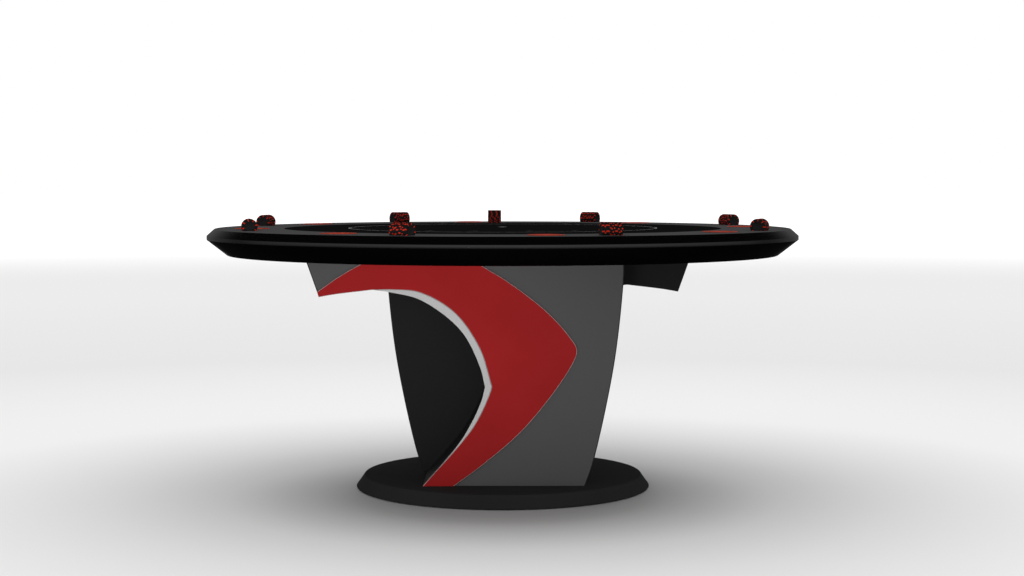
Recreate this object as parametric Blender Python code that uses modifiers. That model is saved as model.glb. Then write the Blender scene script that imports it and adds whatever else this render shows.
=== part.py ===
"""Round card table: a flush round top with a racetrack rail, cup holders and chips, on a pedestal
of two thick shaped halves set back to back, each a half turn from the other, over a round base.
The rail is made of eight sectors, each with one cup holder's hole and one trough for chips.

Metres, +Z up. The origin is on the floor, on the axis of the round top. The front is towards -Y.
"""

import math

import bmesh
import bpy
from mathutils import Matrix, Vector

GAP = 0.0003

# Heights
TABLE_HEIGHT = 0.762
TOP_THICKNESS = 0.0755
UNDERSIDE_Z = TABLE_HEIGHT - TOP_THICKNESS
BASE_TOP_Z = 0.039
GLIDE_HEIGHT = 0.003

# Round top
RIM_RADIUS = 0.860
TOP_EDGE_RADIUS = 0.838
UNDERSIDE_RADIUS = 0.802
NOSE_TOP_Z = 0.7425
NOSE_BOTTOM_Z = 0.7314
RIM_INNER_RADIUS = 0.790
RAIL_RADIUS = 0.834
RAIL_THICKNESS = 0.030
CLOTH_RADIUS = 0.638
CLOTH_BOARD_THICKNESS = 0.0105
BED_THICKNESS = 0.020
UNDERSIDE_BOARD_THICKNESS = 0.018
OUTER_SUPPORT_RADII = (0.600, 0.682)
INNER_SUPPORT_RADII = (0.270, 0.340)
ROUND_STEPS = 64
SECTOR_COUNT = 8
SECTOR_STEPS = ROUND_STEPS // SECTOR_COUNT
FIRST_SECTOR_ANGLE = -360.0 / ROUND_STEPS
RAIL_BOTTOM_Z = TABLE_HEIGHT - RAIL_THICKNESS

# Cup holders, dropped into holes in the rail
CUP_COUNT = 8
CUP_CIRCLE_RADIUS = 0.730
CUP_FIRST_ANGLE = 9.0
CUP_FLANGE_RADIUS = 0.050
CUP_FLANGE_THICKNESS = 0.0018
CUP_OUTER_RADIUS = 0.0417
CUP_WALL = 0.0018
CUP_HOLE_RADIUS = 0.0427
CUP_DEPTH = 0.0545
CUP_STEPS = 20

# Chips: rows lying on edge in shallow troughs of the rail, and one standing stack
CHIP_RADIUS = 0.0215
CHIP_THICKNESS = 0.0034
CHIPS_IN_ROW = 16
CHIPS_IN_STACK = 12
ROW_LENGTH = CHIPS_IN_ROW * CHIP_THICKNESS
ROW_AXIS_Z = TABLE_HEIGHT + 0.012
TROUGH_CLEARANCE = 0.0005
CHIP_STEPS = 20
# Where each row lies round the table, as (radius, angle), and which way its axis points. Both angles
# are in degrees from +X
ROW_PLACES = (
    ((0.782, 26.0), 118.0),
    ((0.780, 68.5), 151.0),
    ((0.778, 116.3), 32.0),
    ((0.766, 161.7), 76.5),
    ((0.769, 204.3), 101.0),
    ((0.777, 251.0), 145.0),
    ((0.780, 291.0), 10.0),
    ((0.777, 336.9), 69.5),
)
STACK_PLACE = (-0.030, 0.605)

# Pedestal halves
HALF_DEPTH = 0.254
FACE_THICKNESS = 0.018
BACK_THICKNESS = 0.012
SKIN_THICKNESS = 0.015
RAISED = 0.006
TRIM_TIP = 0.0008
RUN_STEPS = 4

# Edges of the front half as (x, z), each a smooth run through its points
WING_TOP = (-0.5558, UNDERSIDE_Z)
WING_TIP = (-0.5161, 0.574)
NOTCH_TIP = (-0.0488, 0.3205)
FOOT_LEFT = (-0.2250, BASE_TOP_Z)
OUTER_EDGE = (
    (0.3428, UNDERSIDE_Z),
    (0.3393, 0.599),
    (0.3141, 0.378),
    (0.2567, 0.106),
    (0.2341, BASE_TOP_Z),
)
WING_EDGE = (WING_TIP, (-0.4692, 0.582), (-0.3658, 0.5945))
NOTCH_UPPER = (
    (-0.3658, 0.5945),
    (-0.3101, 0.587),
    (-0.2275, 0.565),
    (-0.1168, 0.480),
    (-0.0634, 0.378),
    NOTCH_TIP,
)
NOTCH_LOWER = (NOTCH_TIP, (-0.0604, 0.277), (-0.1128, 0.174), FOOT_LEFT)
TRIM_UPPER = (
    (-0.3658, 0.5945),
    (-0.3071, 0.595),
    (-0.2316, 0.587),
    (-0.1349, 0.531),
    (-0.0634, 0.429),
    (-0.0299, 0.322),
)
TRIM_LOWER = ((-0.0299, 0.322), (-0.0342, 0.306), (-0.0816, 0.208), FOOT_LEFT)
RED_TOP_LEFT = (
    (-0.5208, 0.5885),
    (-0.4581, 0.632),
    (-0.4098, 0.660),
    (-0.3544, UNDERSIDE_Z),
)
RED_OUTER = (
    (-0.0997, UNDERSIDE_Z),
    (-0.0544, 0.660),
    (0.0191, 0.615),
    (0.1269, 0.531),
    (0.1883, 0.463),
    (0.2097, 0.425),
    (0.1933, 0.378),
    (0.0664, 0.208),
    (-0.0503, 0.104),
    (-0.1376, BASE_TOP_Z),
)

# Base
BASE_BOTTOM_RADIUS = 0.431
BASE_TOP_RADIUS = 0.407
BASE_TOP_WALL = 0.012
BASE_RECESS_RADIUS = 0.3755
WEIGHT_RADII = (0.240, 0.370)
COVER_RADIUS = 0.3745
COVER_THICKNESS = 0.0035
GLIDE_RADIUS = 0.020
GLIDE_CIRCLE_RADIUS = 0.330
GLIDE_COUNT = 4

# Tie rods through base, halves and underside board
ROD_RADIUS = 0.006
ROD_HOLE_RADIUS = 0.0075
ROD_TIP = 0.004
ROD_HEAD_HEIGHT = 0.0077
ROD_HEAD_RADIUS = 0.0105
ROD_NUT_HEIGHT = 0.008
ROD_STEPS = 12
ROD_PLACES = ((0.030, -0.125), (0.170, -0.125), (-0.030, 0.125), (-0.170, 0.125))

# Colour, roughness and metallic value of each finish
FINISHES = {
    "black_lacquer": ((0.006, 0.006, 0.007), 0.18, 0.0),
    "rail_laminate": ((0.060, 0.060, 0.062), 0.38, 0.0),
    "black_cloth": ((0.008, 0.008, 0.009), 0.95, 0.0),
    "grey_laminate": ((0.075, 0.075, 0.076), 0.42, 0.0),
    "red_panel": ((0.30, 0.012, 0.014), 0.35, 0.0),
    "silver_trim": ((0.55, 0.55, 0.55), 0.40, 0.2),
    "black_laminate": ((0.012, 0.012, 0.012), 0.40, 0.0),
    "orange_cup": ((0.45, 0.045, 0.012), 0.35, 0.6),
    "chip": ((0.012, 0.012, 0.012), 0.50, 0.0),
    "plywood": ((0.50, 0.36, 0.22), 0.70, 0.0),
    "steel": ((0.45, 0.45, 0.46), 0.40, 1.0),
    "glide": ((0.02, 0.02, 0.02), 0.60, 0.0),
}


def clear_scene():
    """Remove every object, so that the script starts from nothing."""
    for obj in list(bpy.data.objects):
        bpy.data.objects.remove(obj, do_unlink=True)


def new_collection(name):
    """Add a collection to the scene."""
    collection = bpy.data.collections.new(name)
    bpy.context.scene.collection.children.link(collection)
    return collection


def finish_material(name):
    """The material of a finish, made once."""
    if name in bpy.data.materials:
        return bpy.data.materials[name]
    colour, roughness, metallic = FINISHES[name]
    material = bpy.data.materials.new(name)
    material.use_nodes = True
    shader = material.node_tree.nodes["Principled BSDF"]
    shader.inputs["Base Color"].default_value = (*colour, 1.0)
    shader.inputs["Roughness"].default_value = roughness
    shader.inputs["Metallic"].default_value = metallic
    return material


def link(obj, collection, finish):
    """Put an object in its collection and give it its finish."""
    collection.objects.link(obj)
    obj.data.materials.append(finish_material(finish))
    return obj


def smooth_round(obj):
    """Shade a turned piece smooth, with its real edges kept sharp."""
    obj.data.shade_smooth()
    obj.data.set_sharp_from_angle(angle=math.radians(30))


def from_bmesh(name, build, collection, finish):
    """An object whose mesh the build function fills."""
    mesh = bpy.data.meshes.new(name)
    work = bmesh.new()
    build(work)
    work.to_mesh(mesh)
    work.free()
    return link(bpy.data.objects.new(name, mesh), collection, finish)


def cylinder(name, radius, bottom, top, collection, finish, steps=ROUND_STEPS, at=(0.0, 0.0)):
    """An upright cylinder between two heights."""

    def build(work):
        bmesh.ops.create_cone(
            work,
            cap_ends=True,
            segments=steps,
            radius1=radius,
            radius2=radius,
            depth=top - bottom,
        )

    obj = from_bmesh(name, build, collection, finish)
    obj.location = (*at, (top + bottom) / 2)
    smooth_round(obj)
    return obj


def box(name, low, high, collection, finish):
    """A box between two corners."""

    def build(work):
        bmesh.ops.create_cube(work, size=1.0)
        bmesh.ops.scale(work, vec=Vector(high) - Vector(low), verts=work.verts)
        bmesh.ops.translate(work, vec=(Vector(high) + Vector(low)) / 2, verts=work.verts)

    return from_bmesh(name, build, collection, finish)


def turned(name, profile, collection, finish, closed, steps=ROUND_STEPS):
    """A profile of (radius, z) points, outer side from top to bottom, turned about Z."""
    mesh = bpy.data.meshes.new(name)
    count = len(profile)
    edges = [(i, i + 1) for i in range(count - 1)]
    if closed:
        edges.append((count - 1, 0))
    mesh.from_pydata([(r, 0.0, z) for r, z in profile], edges, [])
    obj = link(bpy.data.objects.new(name, mesh), collection, finish)
    screw = obj.modifiers.new("turn", "SCREW")
    screw.steps = steps
    screw.render_steps = steps
    screw.use_merge_vertices = True
    screw.merge_threshold = 0.00001
    screw.use_smooth_shade = False
    return obj


def ring(name, inner, outer, bottom, top, collection, finish):
    """A flat ring between two radii and two heights."""
    profile = [(outer, top), (outer, bottom), (inner, bottom), (inner, top)]
    return turned(name, profile, collection, finish, closed=True)


def cut(obj, cutters):
    """Take each cutter's shape out of an object."""
    for cutter in cutters:
        modifier = obj.modifiers.new("cut " + cutter.name, "BOOLEAN")
        modifier.operation = "DIFFERENCE"
        modifier.solver = "EXACT"
        modifier.object = cutter


def as_cutter(obj):
    """Mark an object as a helper that is not part of the table."""
    obj.hide_render = True
    obj.display_type = "WIRE"
    return obj


def smooth_run(points, steps=RUN_STEPS):
    """Points along a smooth centripetal curve through the given (x, z) points."""
    knots = [Vector(p) for p in points]
    knots = [2 * knots[0] - knots[1], *knots, 2 * knots[-1] - knots[-2]]
    run = []
    for a, b, c, d in zip(knots, knots[1:], knots[2:], knots[3:]):
        t1 = math.sqrt((b - a).length)
        t2 = t1 + math.sqrt((c - b).length)
        t3 = t2 + math.sqrt((d - c).length)
        for step in range(steps):
            t = t1 + (t2 - t1) * step / steps
            ab = a.lerp(b, t / t1)
            bc = b.lerp(c, (t - t1) / (t2 - t1))
            cd = c.lerp(d, (t - t2) / (t3 - t2))
            abc = ab.lerp(bc, t / t2)
            bcd = bc.lerp(cd, (t - t1) / (t3 - t1))
            run.append(abc.lerp(bcd, (t - t1) / (t2 - t1)))
    run.append(knots[-2])
    return run


def joined(*runs):
    """One outline from runs that follow on, with each shared end kept once."""
    outline = []
    for run in runs:
        for point in run:
            if not outline or (Vector(point) - outline[-1]).length > 1e-6:
                outline.append(Vector(point))
    if (outline[0] - outline[-1]).length < 1e-6:
        outline.pop()
    return outline


def between_floors(outline):
    """Keep an outline a gap clear of the base below and the top above."""
    low, high = BASE_TOP_Z + GAP, UNDERSIDE_Z - GAP
    return [Vector((p.x, min(max(p.y, low), high))) for p in outline]


def filled_curve(name, outline, thickness):
    """A closed flat outline as a filled curve, centred on its plane."""
    curve = bpy.data.curves.new(name, "CURVE")
    curve.dimensions = "2D"
    curve.fill_mode = "BOTH"
    curve.extrude = thickness / 2
    spline = curve.splines.new("POLY")
    spline.points.add(len(outline) - 1)
    for point, place in zip(spline.points, outline):
        point.co = (place[0], place[1], 0.0, 1.0)
    spline.use_cyclic_u = True
    return bpy.data.objects.new(name, curve)


def plate(name, outline, near, far, collection, finish):
    """A flat outline in the XZ plane, given its thickness from y = near to y = far."""
    obj = filled_curve(name, outline, far - near)
    obj.rotation_euler = (math.pi / 2, 0.0, 0.0)
    obj.location = (0.0, (near + far) / 2, 0.0)
    return solid_from_curve(obj, collection, finish)


def rail_sector(number, collection):
    """One sector of the rail, with its two ends drawn in by half a gap."""
    start = math.radians(FIRST_SECTOR_ANGLE + (number - 1) * 360.0 / SECTOR_COUNT)
    step = math.tau / ROUND_STEPS
    angles = [start + step * i for i in range(SECTOR_STEPS + 1)]
    angles[0] += GAP / 2 / CLOTH_RADIUS
    angles[-1] -= GAP / 2 / CLOTH_RADIUS
    outline = [(RAIL_RADIUS * math.cos(a), RAIL_RADIUS * math.sin(a)) for a in angles]
    outline += [(CLOTH_RADIUS * math.cos(a), CLOTH_RADIUS * math.sin(a)) for a in angles[::-1]]
    obj = filled_curve(f"rail_{number}", outline, RAIL_THICKNESS)
    obj.location = (0.0, 0.0, TABLE_HEIGHT - RAIL_THICKNESS / 2)
    return solid_from_curve(obj, collection, "rail_laminate")


def solid_from_curve(obj, collection, finish):
    """Replace a curve by its closed mesh, with its place kept."""
    bpy.context.scene.collection.objects.link(obj)
    bpy.context.view_layer.update()
    graph = bpy.context.evaluated_depsgraph_get()
    mesh = bpy.data.meshes.new_from_object(obj.evaluated_get(graph))
    work = bmesh.new()
    work.from_mesh(mesh)
    bmesh.ops.remove_doubles(work, verts=work.verts, dist=0.00001)
    bmesh.ops.recalc_face_normals(work, faces=work.faces)
    work.to_mesh(mesh)
    work.free()
    name = obj.name
    matrix = obj.matrix_world.copy()
    curve = obj.data
    bpy.data.objects.remove(obj)
    bpy.data.curves.remove(curve)
    mesh.materials.clear()
    solid = link(bpy.data.objects.new(name, mesh), collection, finish)
    solid.matrix_world = matrix
    return solid


def half_outline():
    """The outline of a pedestal half, seen from its own front."""
    return joined(
        [WING_TOP],
        smooth_run(WING_EDGE),
        smooth_run(NOTCH_UPPER),
        smooth_run(NOTCH_LOWER),
        reversed(smooth_run(OUTER_EDGE)),
    )


def red_outline():
    """The red panel: from the wing along the trim to the foot, and back round its outer edge."""
    outline = joined(
        smooth_run(RED_TOP_LEFT),
        smooth_run(RED_OUTER, steps=3),
        reversed(smooth_run(TRIM_LOWER)),
        reversed(smooth_run(TRIM_UPPER)),
        reversed(smooth_run(WING_EDGE)),
    )
    return between_floors(outline)


def trim_outline():
    """The crescent trim between the notch and the red panel, cut short at its two thin ends."""
    notch = joined(smooth_run(NOTCH_UPPER), smooth_run(NOTCH_LOWER))
    inner = joined(smooth_run(TRIM_UPPER), smooth_run(TRIM_LOWER))
    inner = [p + Vector((-TRIM_TIP, -TRIM_TIP / 2)) for p in inner]
    return joined(notch[2:-2], reversed(inner[2:-2]))


def side_band(run, inwards):
    """A run thickened sideways by a horizontal distance."""
    shifted = [p + Vector((inwards, 0.0)) for p in reversed(run)]
    return between_floors(joined(run, shifted))


def notch_band():
    """The bent skin along the wing's underside and the notch, thickened into the half."""
    start = WING_TIP[0] + SKIN_THICKNESS + GAP
    run = joined(smooth_run(WING_EDGE), smooth_run(NOTCH_UPPER), smooth_run(NOTCH_LOWER))
    kept = [p for p in run if p.x > start or p.y < NOTCH_TIP[1]]
    inner = []
    for before, point, after in zip(kept, kept[1:], kept[2:]):
        along = (after - before).normalized()
        inner.append(point + SKIN_THICKNESS * Vector((-along.y, along.x)))
    first = kept[0] + Vector((0.0, SKIN_THICKNESS))
    last = kept[-1] + Vector((SKIN_THICKNESS * 1.3, 0.0))
    return between_floors(joined(kept, [last], reversed(inner), [first]))


def turn_to(side, obj):
    """Give the rear half its place, a half turn about the table's axis from the front one."""
    if side == "rear":
        turn = Matrix.Rotation(math.pi, 4, "Z")
        obj.matrix_world = turn @ obj.matrix_world
        bpy.context.view_layer.update()
    return obj


def pedestal_half(side, collection, rod_cutters):
    """One half: face, back, boards and bent skins, with its red panel and trim."""
    face_inner = -HALF_DEPTH + FACE_THICKNESS
    back_outer = -BACK_THICKNESS - GAP
    skin = (face_inner + GAP, back_outer - GAP)
    outline = between_floors(half_outline())
    right = smooth_run(OUTER_EDGE)
    wing = [Vector(WING_TOP), Vector(WING_TIP)]
    top_board_low = UNDERSIDE_Z - GAP - SKIN_THICKNESS
    bottom_board_high = BASE_TOP_Z + GAP + SKIN_THICKNESS
    pieces = [
        plate("face_panel", outline, -HALF_DEPTH, face_inner, collection, "grey_laminate"),
        plate("back_panel", outline, back_outer, -GAP, collection, "black_laminate"),
        plate("outer_skin", side_band(right, -SKIN_THICKNESS), *skin, collection, "black_laminate"),
        plate("wing_end", side_band(wing, SKIN_THICKNESS), *skin, collection, "black_laminate"),
        plate("notch_skin", notch_band(), *skin, collection, "black_laminate"),
        plate(
            "red_panel",
            red_outline(),
            -HALF_DEPTH - GAP - RAISED,
            -HALF_DEPTH - GAP,
            collection,
            "red_panel",
        ),
        plate(
            "silver_trim",
            trim_outline(),
            -HALF_DEPTH - GAP - RAISED,
            -HALF_DEPTH - GAP,
            collection,
            "silver_trim",
        ),
    ]
    boards = [
        box(
            "top_board",
            (-0.5300, skin[0], top_board_low),
            (0.3230, skin[1], UNDERSIDE_Z - GAP),
            collection,
            "plywood",
        ),
        box(
            "bottom_board",
            (-0.1900, skin[0], BASE_TOP_Z + GAP),
            (0.2160, skin[1], bottom_board_high),
            collection,
            "plywood",
        ),
    ]
    for piece in pieces + boards:
        piece.name = side + "_" + piece.name.split(".")[0]
        piece.data.name = piece.name
        turn_to(side, piece)
    for board in boards:
        cut(board, rod_cutters[side])


def round_top(collection, cup_cutters, trough_cutters, rod_cutters):
    """Cloth, boards, rail and rim of the round top."""
    bed_top = TABLE_HEIGHT - CLOTH_BOARD_THICKNESS - GAP
    bed_bottom = bed_top - BED_THICKNESS
    board_top = UNDERSIDE_Z + UNDERSIDE_BOARD_THICKNESS
    support = (board_top + GAP, bed_bottom - GAP)
    cloth_edge = CLOTH_RADIUS - GAP
    lowest = bed_top + GAP
    cylinder("playing_surface", cloth_edge, lowest, TABLE_HEIGHT, collection, "black_cloth")
    cylinder("bed_board", cloth_edge, bed_bottom, bed_top, collection, "plywood")
    board = cylinder(
        "underside_board",
        RIM_INNER_RADIUS - GAP,
        UNDERSIDE_Z,
        board_top,
        collection,
        "black_laminate",
    )
    cut(board, rod_cutters)
    holes = zip(cup_cutters, trough_cutters)
    for number, cutters in enumerate(holes, start=1):
        cut(rail_sector(number, collection), cutters)
    ring("outer_support_ring", *OUTER_SUPPORT_RADII, *support, collection, "plywood")
    ring("inner_support_ring", *INNER_SUPPORT_RADII, *support, collection, "plywood")
    rim_profile = [
        (TOP_EDGE_RADIUS, TABLE_HEIGHT),
        (RIM_RADIUS, NOSE_TOP_Z),
        (RIM_RADIUS, NOSE_BOTTOM_Z),
        (UNDERSIDE_RADIUS, UNDERSIDE_Z),
        (RIM_INNER_RADIUS, UNDERSIDE_Z),
        (RIM_INNER_RADIUS, RAIL_BOTTOM_Z - GAP),
        (RAIL_RADIUS + GAP, RAIL_BOTTOM_Z - GAP),
        (RAIL_RADIUS + GAP, TABLE_HEIGHT),
    ]
    turned("rim", rim_profile, collection, "black_lacquer", closed=True)


def round_the_table(angle, radius):
    """The place at an angle in degrees from +X and a radius."""
    turn = math.radians(angle)
    return radius * math.cos(turn), radius * math.sin(turn)


def cup_places():
    """The centre of each cup holder."""
    turns = [CUP_FIRST_ANGLE + 360.0 * i / CUP_COUNT for i in range(CUP_COUNT)]
    return [round_the_table(turn, CUP_CIRCLE_RADIUS) for turn in turns]


def cup_holders(collection):
    """The drop-in cup holders, each its own piece, sharing one turned profile."""
    flange_low = TABLE_HEIGHT + GAP
    flange_top = flange_low + CUP_FLANGE_THICKNESS
    bottom = flange_low - CUP_DEPTH
    inner = CUP_OUTER_RADIUS - CUP_WALL
    profile = [
        (0.0, bottom + CUP_WALL),
        (inner, bottom + CUP_WALL),
        (inner, flange_top),
        (CUP_FLANGE_RADIUS - 0.001, flange_top),
        (CUP_FLANGE_RADIUS, flange_low),
        (CUP_OUTER_RADIUS, flange_low),
        (CUP_OUTER_RADIUS, bottom),
        (0.0, bottom),
    ]
    for number, (x, y) in enumerate(cup_places(), start=1):
        name = f"cup_holder_{number}"
        cup = turned(name, profile, collection, "orange_cup", closed=False, steps=CUP_STEPS)
        cup.location = (x, y, 0.0)


def cup_hole_cutters(collection):
    """One cutter for each cup holder, through the rail."""
    reach = 0.010
    low = RAIL_BOTTOM_Z - reach
    cutters = []
    for number, place in enumerate(cup_places(), start=1):
        name = f"cup_hole_{number}"
        top = TABLE_HEIGHT + reach
        hole = cylinder(
            name, CUP_HOLE_RADIUS, low, top, collection, "steel", CUP_STEPS, place
        )
        cutters.append(as_cutter(hole))
    return cutters


def chip_roll(name, radius, length, collection):
    """A roll of chips as one cylinder along Z, centred on its origin."""
    half = length / 2
    return cylinder(name, radius, -half, half, collection, "chip", CHIP_STEPS)


def lay_down(obj, place, axis_angle):
    """Lay a roll on its side at its place on the rail, its axis turned to its own angle."""
    radius, angle = place
    obj.location = (*round_the_table(angle, radius), ROW_AXIS_Z)
    obj.rotation_euler = (0.0, math.pi / 2, math.radians(axis_angle))


def chips(collection):
    """The rows on the rail and the stack on the cloth."""
    for number, place in enumerate(ROW_PLACES, start=1):
        row = chip_roll(f"chip_row_{number}", CHIP_RADIUS, ROW_LENGTH, collection)
        lay_down(row, *place)
    height = CHIPS_IN_STACK * CHIP_THICKNESS
    stack = chip_roll("chip_stack", CHIP_RADIUS, height, collection)
    stack.location = (*STACK_PLACE, TABLE_HEIGHT + GAP + height / 2)


def trough_cutters(collection):
    """One cutter for the trough under each row, a little larger than the row."""
    cutters = []
    radius = CHIP_RADIUS + TROUGH_CLEARANCE
    length = ROW_LENGTH + 2 * TROUGH_CLEARANCE
    for number, place in enumerate(ROW_PLACES, start=1):
        trough = chip_roll(f"trough_{number}", radius, length, collection)
        lay_down(trough, *place)
        cutters.append(as_cutter(trough))
    return cutters


def rod_hole_cutters(collection):
    """Cutters for the tie rods' holes, by the half that each rod passes through."""
    cutters = {"front": [], "rear": []}
    for number, place in enumerate(ROD_PLACES, start=1):
        side = "front" if place[1] < 0 else "rear"
        name = f"rod_hole_{number}"
        hole = cylinder(
            name, ROD_HOLE_RADIUS, 0.010, 0.740, collection, "steel", ROD_STEPS, place
        )
        cutters[side].append(as_cutter(hole))
    return cutters


def tie_rods(collection):
    """Four rods from a head under the base's top wall to a nut over the underside board."""
    head_top = BASE_TOP_Z - BASE_TOP_WALL - GAP
    nut_low = UNDERSIDE_Z + UNDERSIDE_BOARD_THICKNESS + GAP
    profile = [
        (0.0, nut_low + ROD_NUT_HEIGHT + ROD_TIP),
        (ROD_RADIUS, nut_low + ROD_NUT_HEIGHT + ROD_TIP),
        (ROD_RADIUS, nut_low + ROD_NUT_HEIGHT),
        (ROD_HEAD_RADIUS, nut_low + ROD_NUT_HEIGHT),
        (ROD_HEAD_RADIUS, nut_low),
        (ROD_RADIUS, nut_low),
        (ROD_RADIUS, head_top),
        (ROD_HEAD_RADIUS, head_top),
        (ROD_HEAD_RADIUS, head_top - ROD_HEAD_HEIGHT),
        (0.0, head_top - ROD_HEAD_HEIGHT),
    ]
    for number, (x, y) in enumerate(ROD_PLACES, start=1):
        rod = turned(f"tie_rod_{number}", profile, collection, "steel", False, ROD_STEPS)
        rod.location = (x, y, 0.0)


def base(collection, rod_cutters):
    """The round base: a shell over a steel weight ring, a cover plate and its glides."""
    recess_top = BASE_TOP_Z - BASE_TOP_WALL
    shell_profile = [
        (0.0, BASE_TOP_Z),
        (BASE_TOP_RADIUS, BASE_TOP_Z),
        (BASE_BOTTOM_RADIUS, GLIDE_HEIGHT + 0.002),
        (BASE_BOTTOM_RADIUS, GLIDE_HEIGHT),
        (BASE_RECESS_RADIUS, GLIDE_HEIGHT),
        (BASE_RECESS_RADIUS, recess_top),
        (0.0, recess_top),
    ]
    shell = turned("base_shell", shell_profile, collection, "black_lacquer", closed=False)
    cut(shell, rod_cutters)
    cover_top = GLIDE_HEIGHT + COVER_THICKNESS
    cylinder(
        "base_cover_plate",
        COVER_RADIUS,
        GLIDE_HEIGHT,
        cover_top,
        collection,
        "black_laminate",
    )
    ring(
        "base_weight_ring",
        *WEIGHT_RADII,
        cover_top + GAP,
        recess_top - GAP,
        collection,
        "steel",
    )
    for number in range(1, GLIDE_COUNT + 1):
        turn = 360.0 * (number - 0.5) / GLIDE_COUNT
        place = round_the_table(turn, GLIDE_CIRCLE_RADIUS)
        top = GLIDE_HEIGHT - GAP
        cylinder(
            f"glide_{number}", GLIDE_RADIUS, 0.0, top, collection, "glide", CUP_STEPS, place
        )


def main():
    """Build the table."""
    clear_scene()
    table = new_collection("round_card_table")
    helpers = new_collection("cutters")
    cup_cutters = cup_hole_cutters(helpers)
    troughs = trough_cutters(helpers)
    rods = rod_hole_cutters(helpers)
    all_rods = rods["front"] + rods["rear"]
    round_top(table, cup_cutters, troughs, all_rods)
    cup_holders(table)
    chips(table)
    for side in ("front", "rear"):
        pedestal_half(side, table, rods)
    tie_rods(table)
    base(table, all_rods)


main()
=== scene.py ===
"""The looks of a round card table: cloth, rail, rim, cup holders, chips, shaped pedestal and base.

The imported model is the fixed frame. Every visible piece is modelled again here at full detail, rides
on the body of the node it stands for, and is dressed in a procedural finish. Sizes are in metres.
"""

import functools
import logging
import math
import random
import sys
from collections.abc import Callable, Iterable, Sequence
from dataclasses import dataclass, field
from enum import Enum
from typing import ClassVar

import bmesh
import bpy
from bmesh.types import BMEdge, BMesh, BMFace, BMVert
from bpy.types import Material, Node, NodeSocket, NodeTree, Object
from mathutils import Matrix, Vector


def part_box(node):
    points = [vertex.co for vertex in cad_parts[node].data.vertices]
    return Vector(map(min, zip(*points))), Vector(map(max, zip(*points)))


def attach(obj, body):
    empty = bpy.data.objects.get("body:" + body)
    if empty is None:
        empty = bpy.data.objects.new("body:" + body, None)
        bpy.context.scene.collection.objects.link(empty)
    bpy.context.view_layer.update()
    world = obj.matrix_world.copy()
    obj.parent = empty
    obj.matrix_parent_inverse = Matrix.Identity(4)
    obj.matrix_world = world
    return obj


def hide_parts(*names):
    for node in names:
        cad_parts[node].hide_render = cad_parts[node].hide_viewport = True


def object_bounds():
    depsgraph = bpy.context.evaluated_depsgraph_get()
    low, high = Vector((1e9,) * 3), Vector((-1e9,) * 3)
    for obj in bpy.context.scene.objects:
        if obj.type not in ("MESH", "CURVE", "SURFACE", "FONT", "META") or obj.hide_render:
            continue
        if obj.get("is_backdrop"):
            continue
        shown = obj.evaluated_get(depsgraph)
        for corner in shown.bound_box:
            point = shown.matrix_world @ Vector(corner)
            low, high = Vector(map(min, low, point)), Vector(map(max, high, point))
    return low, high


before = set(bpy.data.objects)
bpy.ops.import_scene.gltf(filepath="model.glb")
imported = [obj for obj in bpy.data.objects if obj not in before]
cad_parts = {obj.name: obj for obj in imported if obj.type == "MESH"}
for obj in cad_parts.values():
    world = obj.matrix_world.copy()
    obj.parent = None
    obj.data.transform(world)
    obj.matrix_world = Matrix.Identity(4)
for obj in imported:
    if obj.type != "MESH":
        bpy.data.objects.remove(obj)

log = logging.getLogger("card_table")

TABLE_BODY = "table"
WRAP_MAP = "wrap"
FULL_TURN = math.tau
# A face with more corners than this is flat, so it is shaded flat.
MOST_CORNERS_OF_CURVED_FACE = 6
SHARP_CREASE = math.radians(32)
# The part of a unit normal that counts as facing squarely along an axis.
SQUARE = 0.999
# The part of a unit normal that still counts as none.
SLIGHT = 0.001
# The gap that the frame leaves between neighbours.
GAP = 0.0003

Colour = tuple[float, float, float]
Point = tuple[float, float]
Place = tuple[float, float, float]


# --------------------------------------------------------------------------------------------------
# Finishes
# --------------------------------------------------------------------------------------------------


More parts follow.
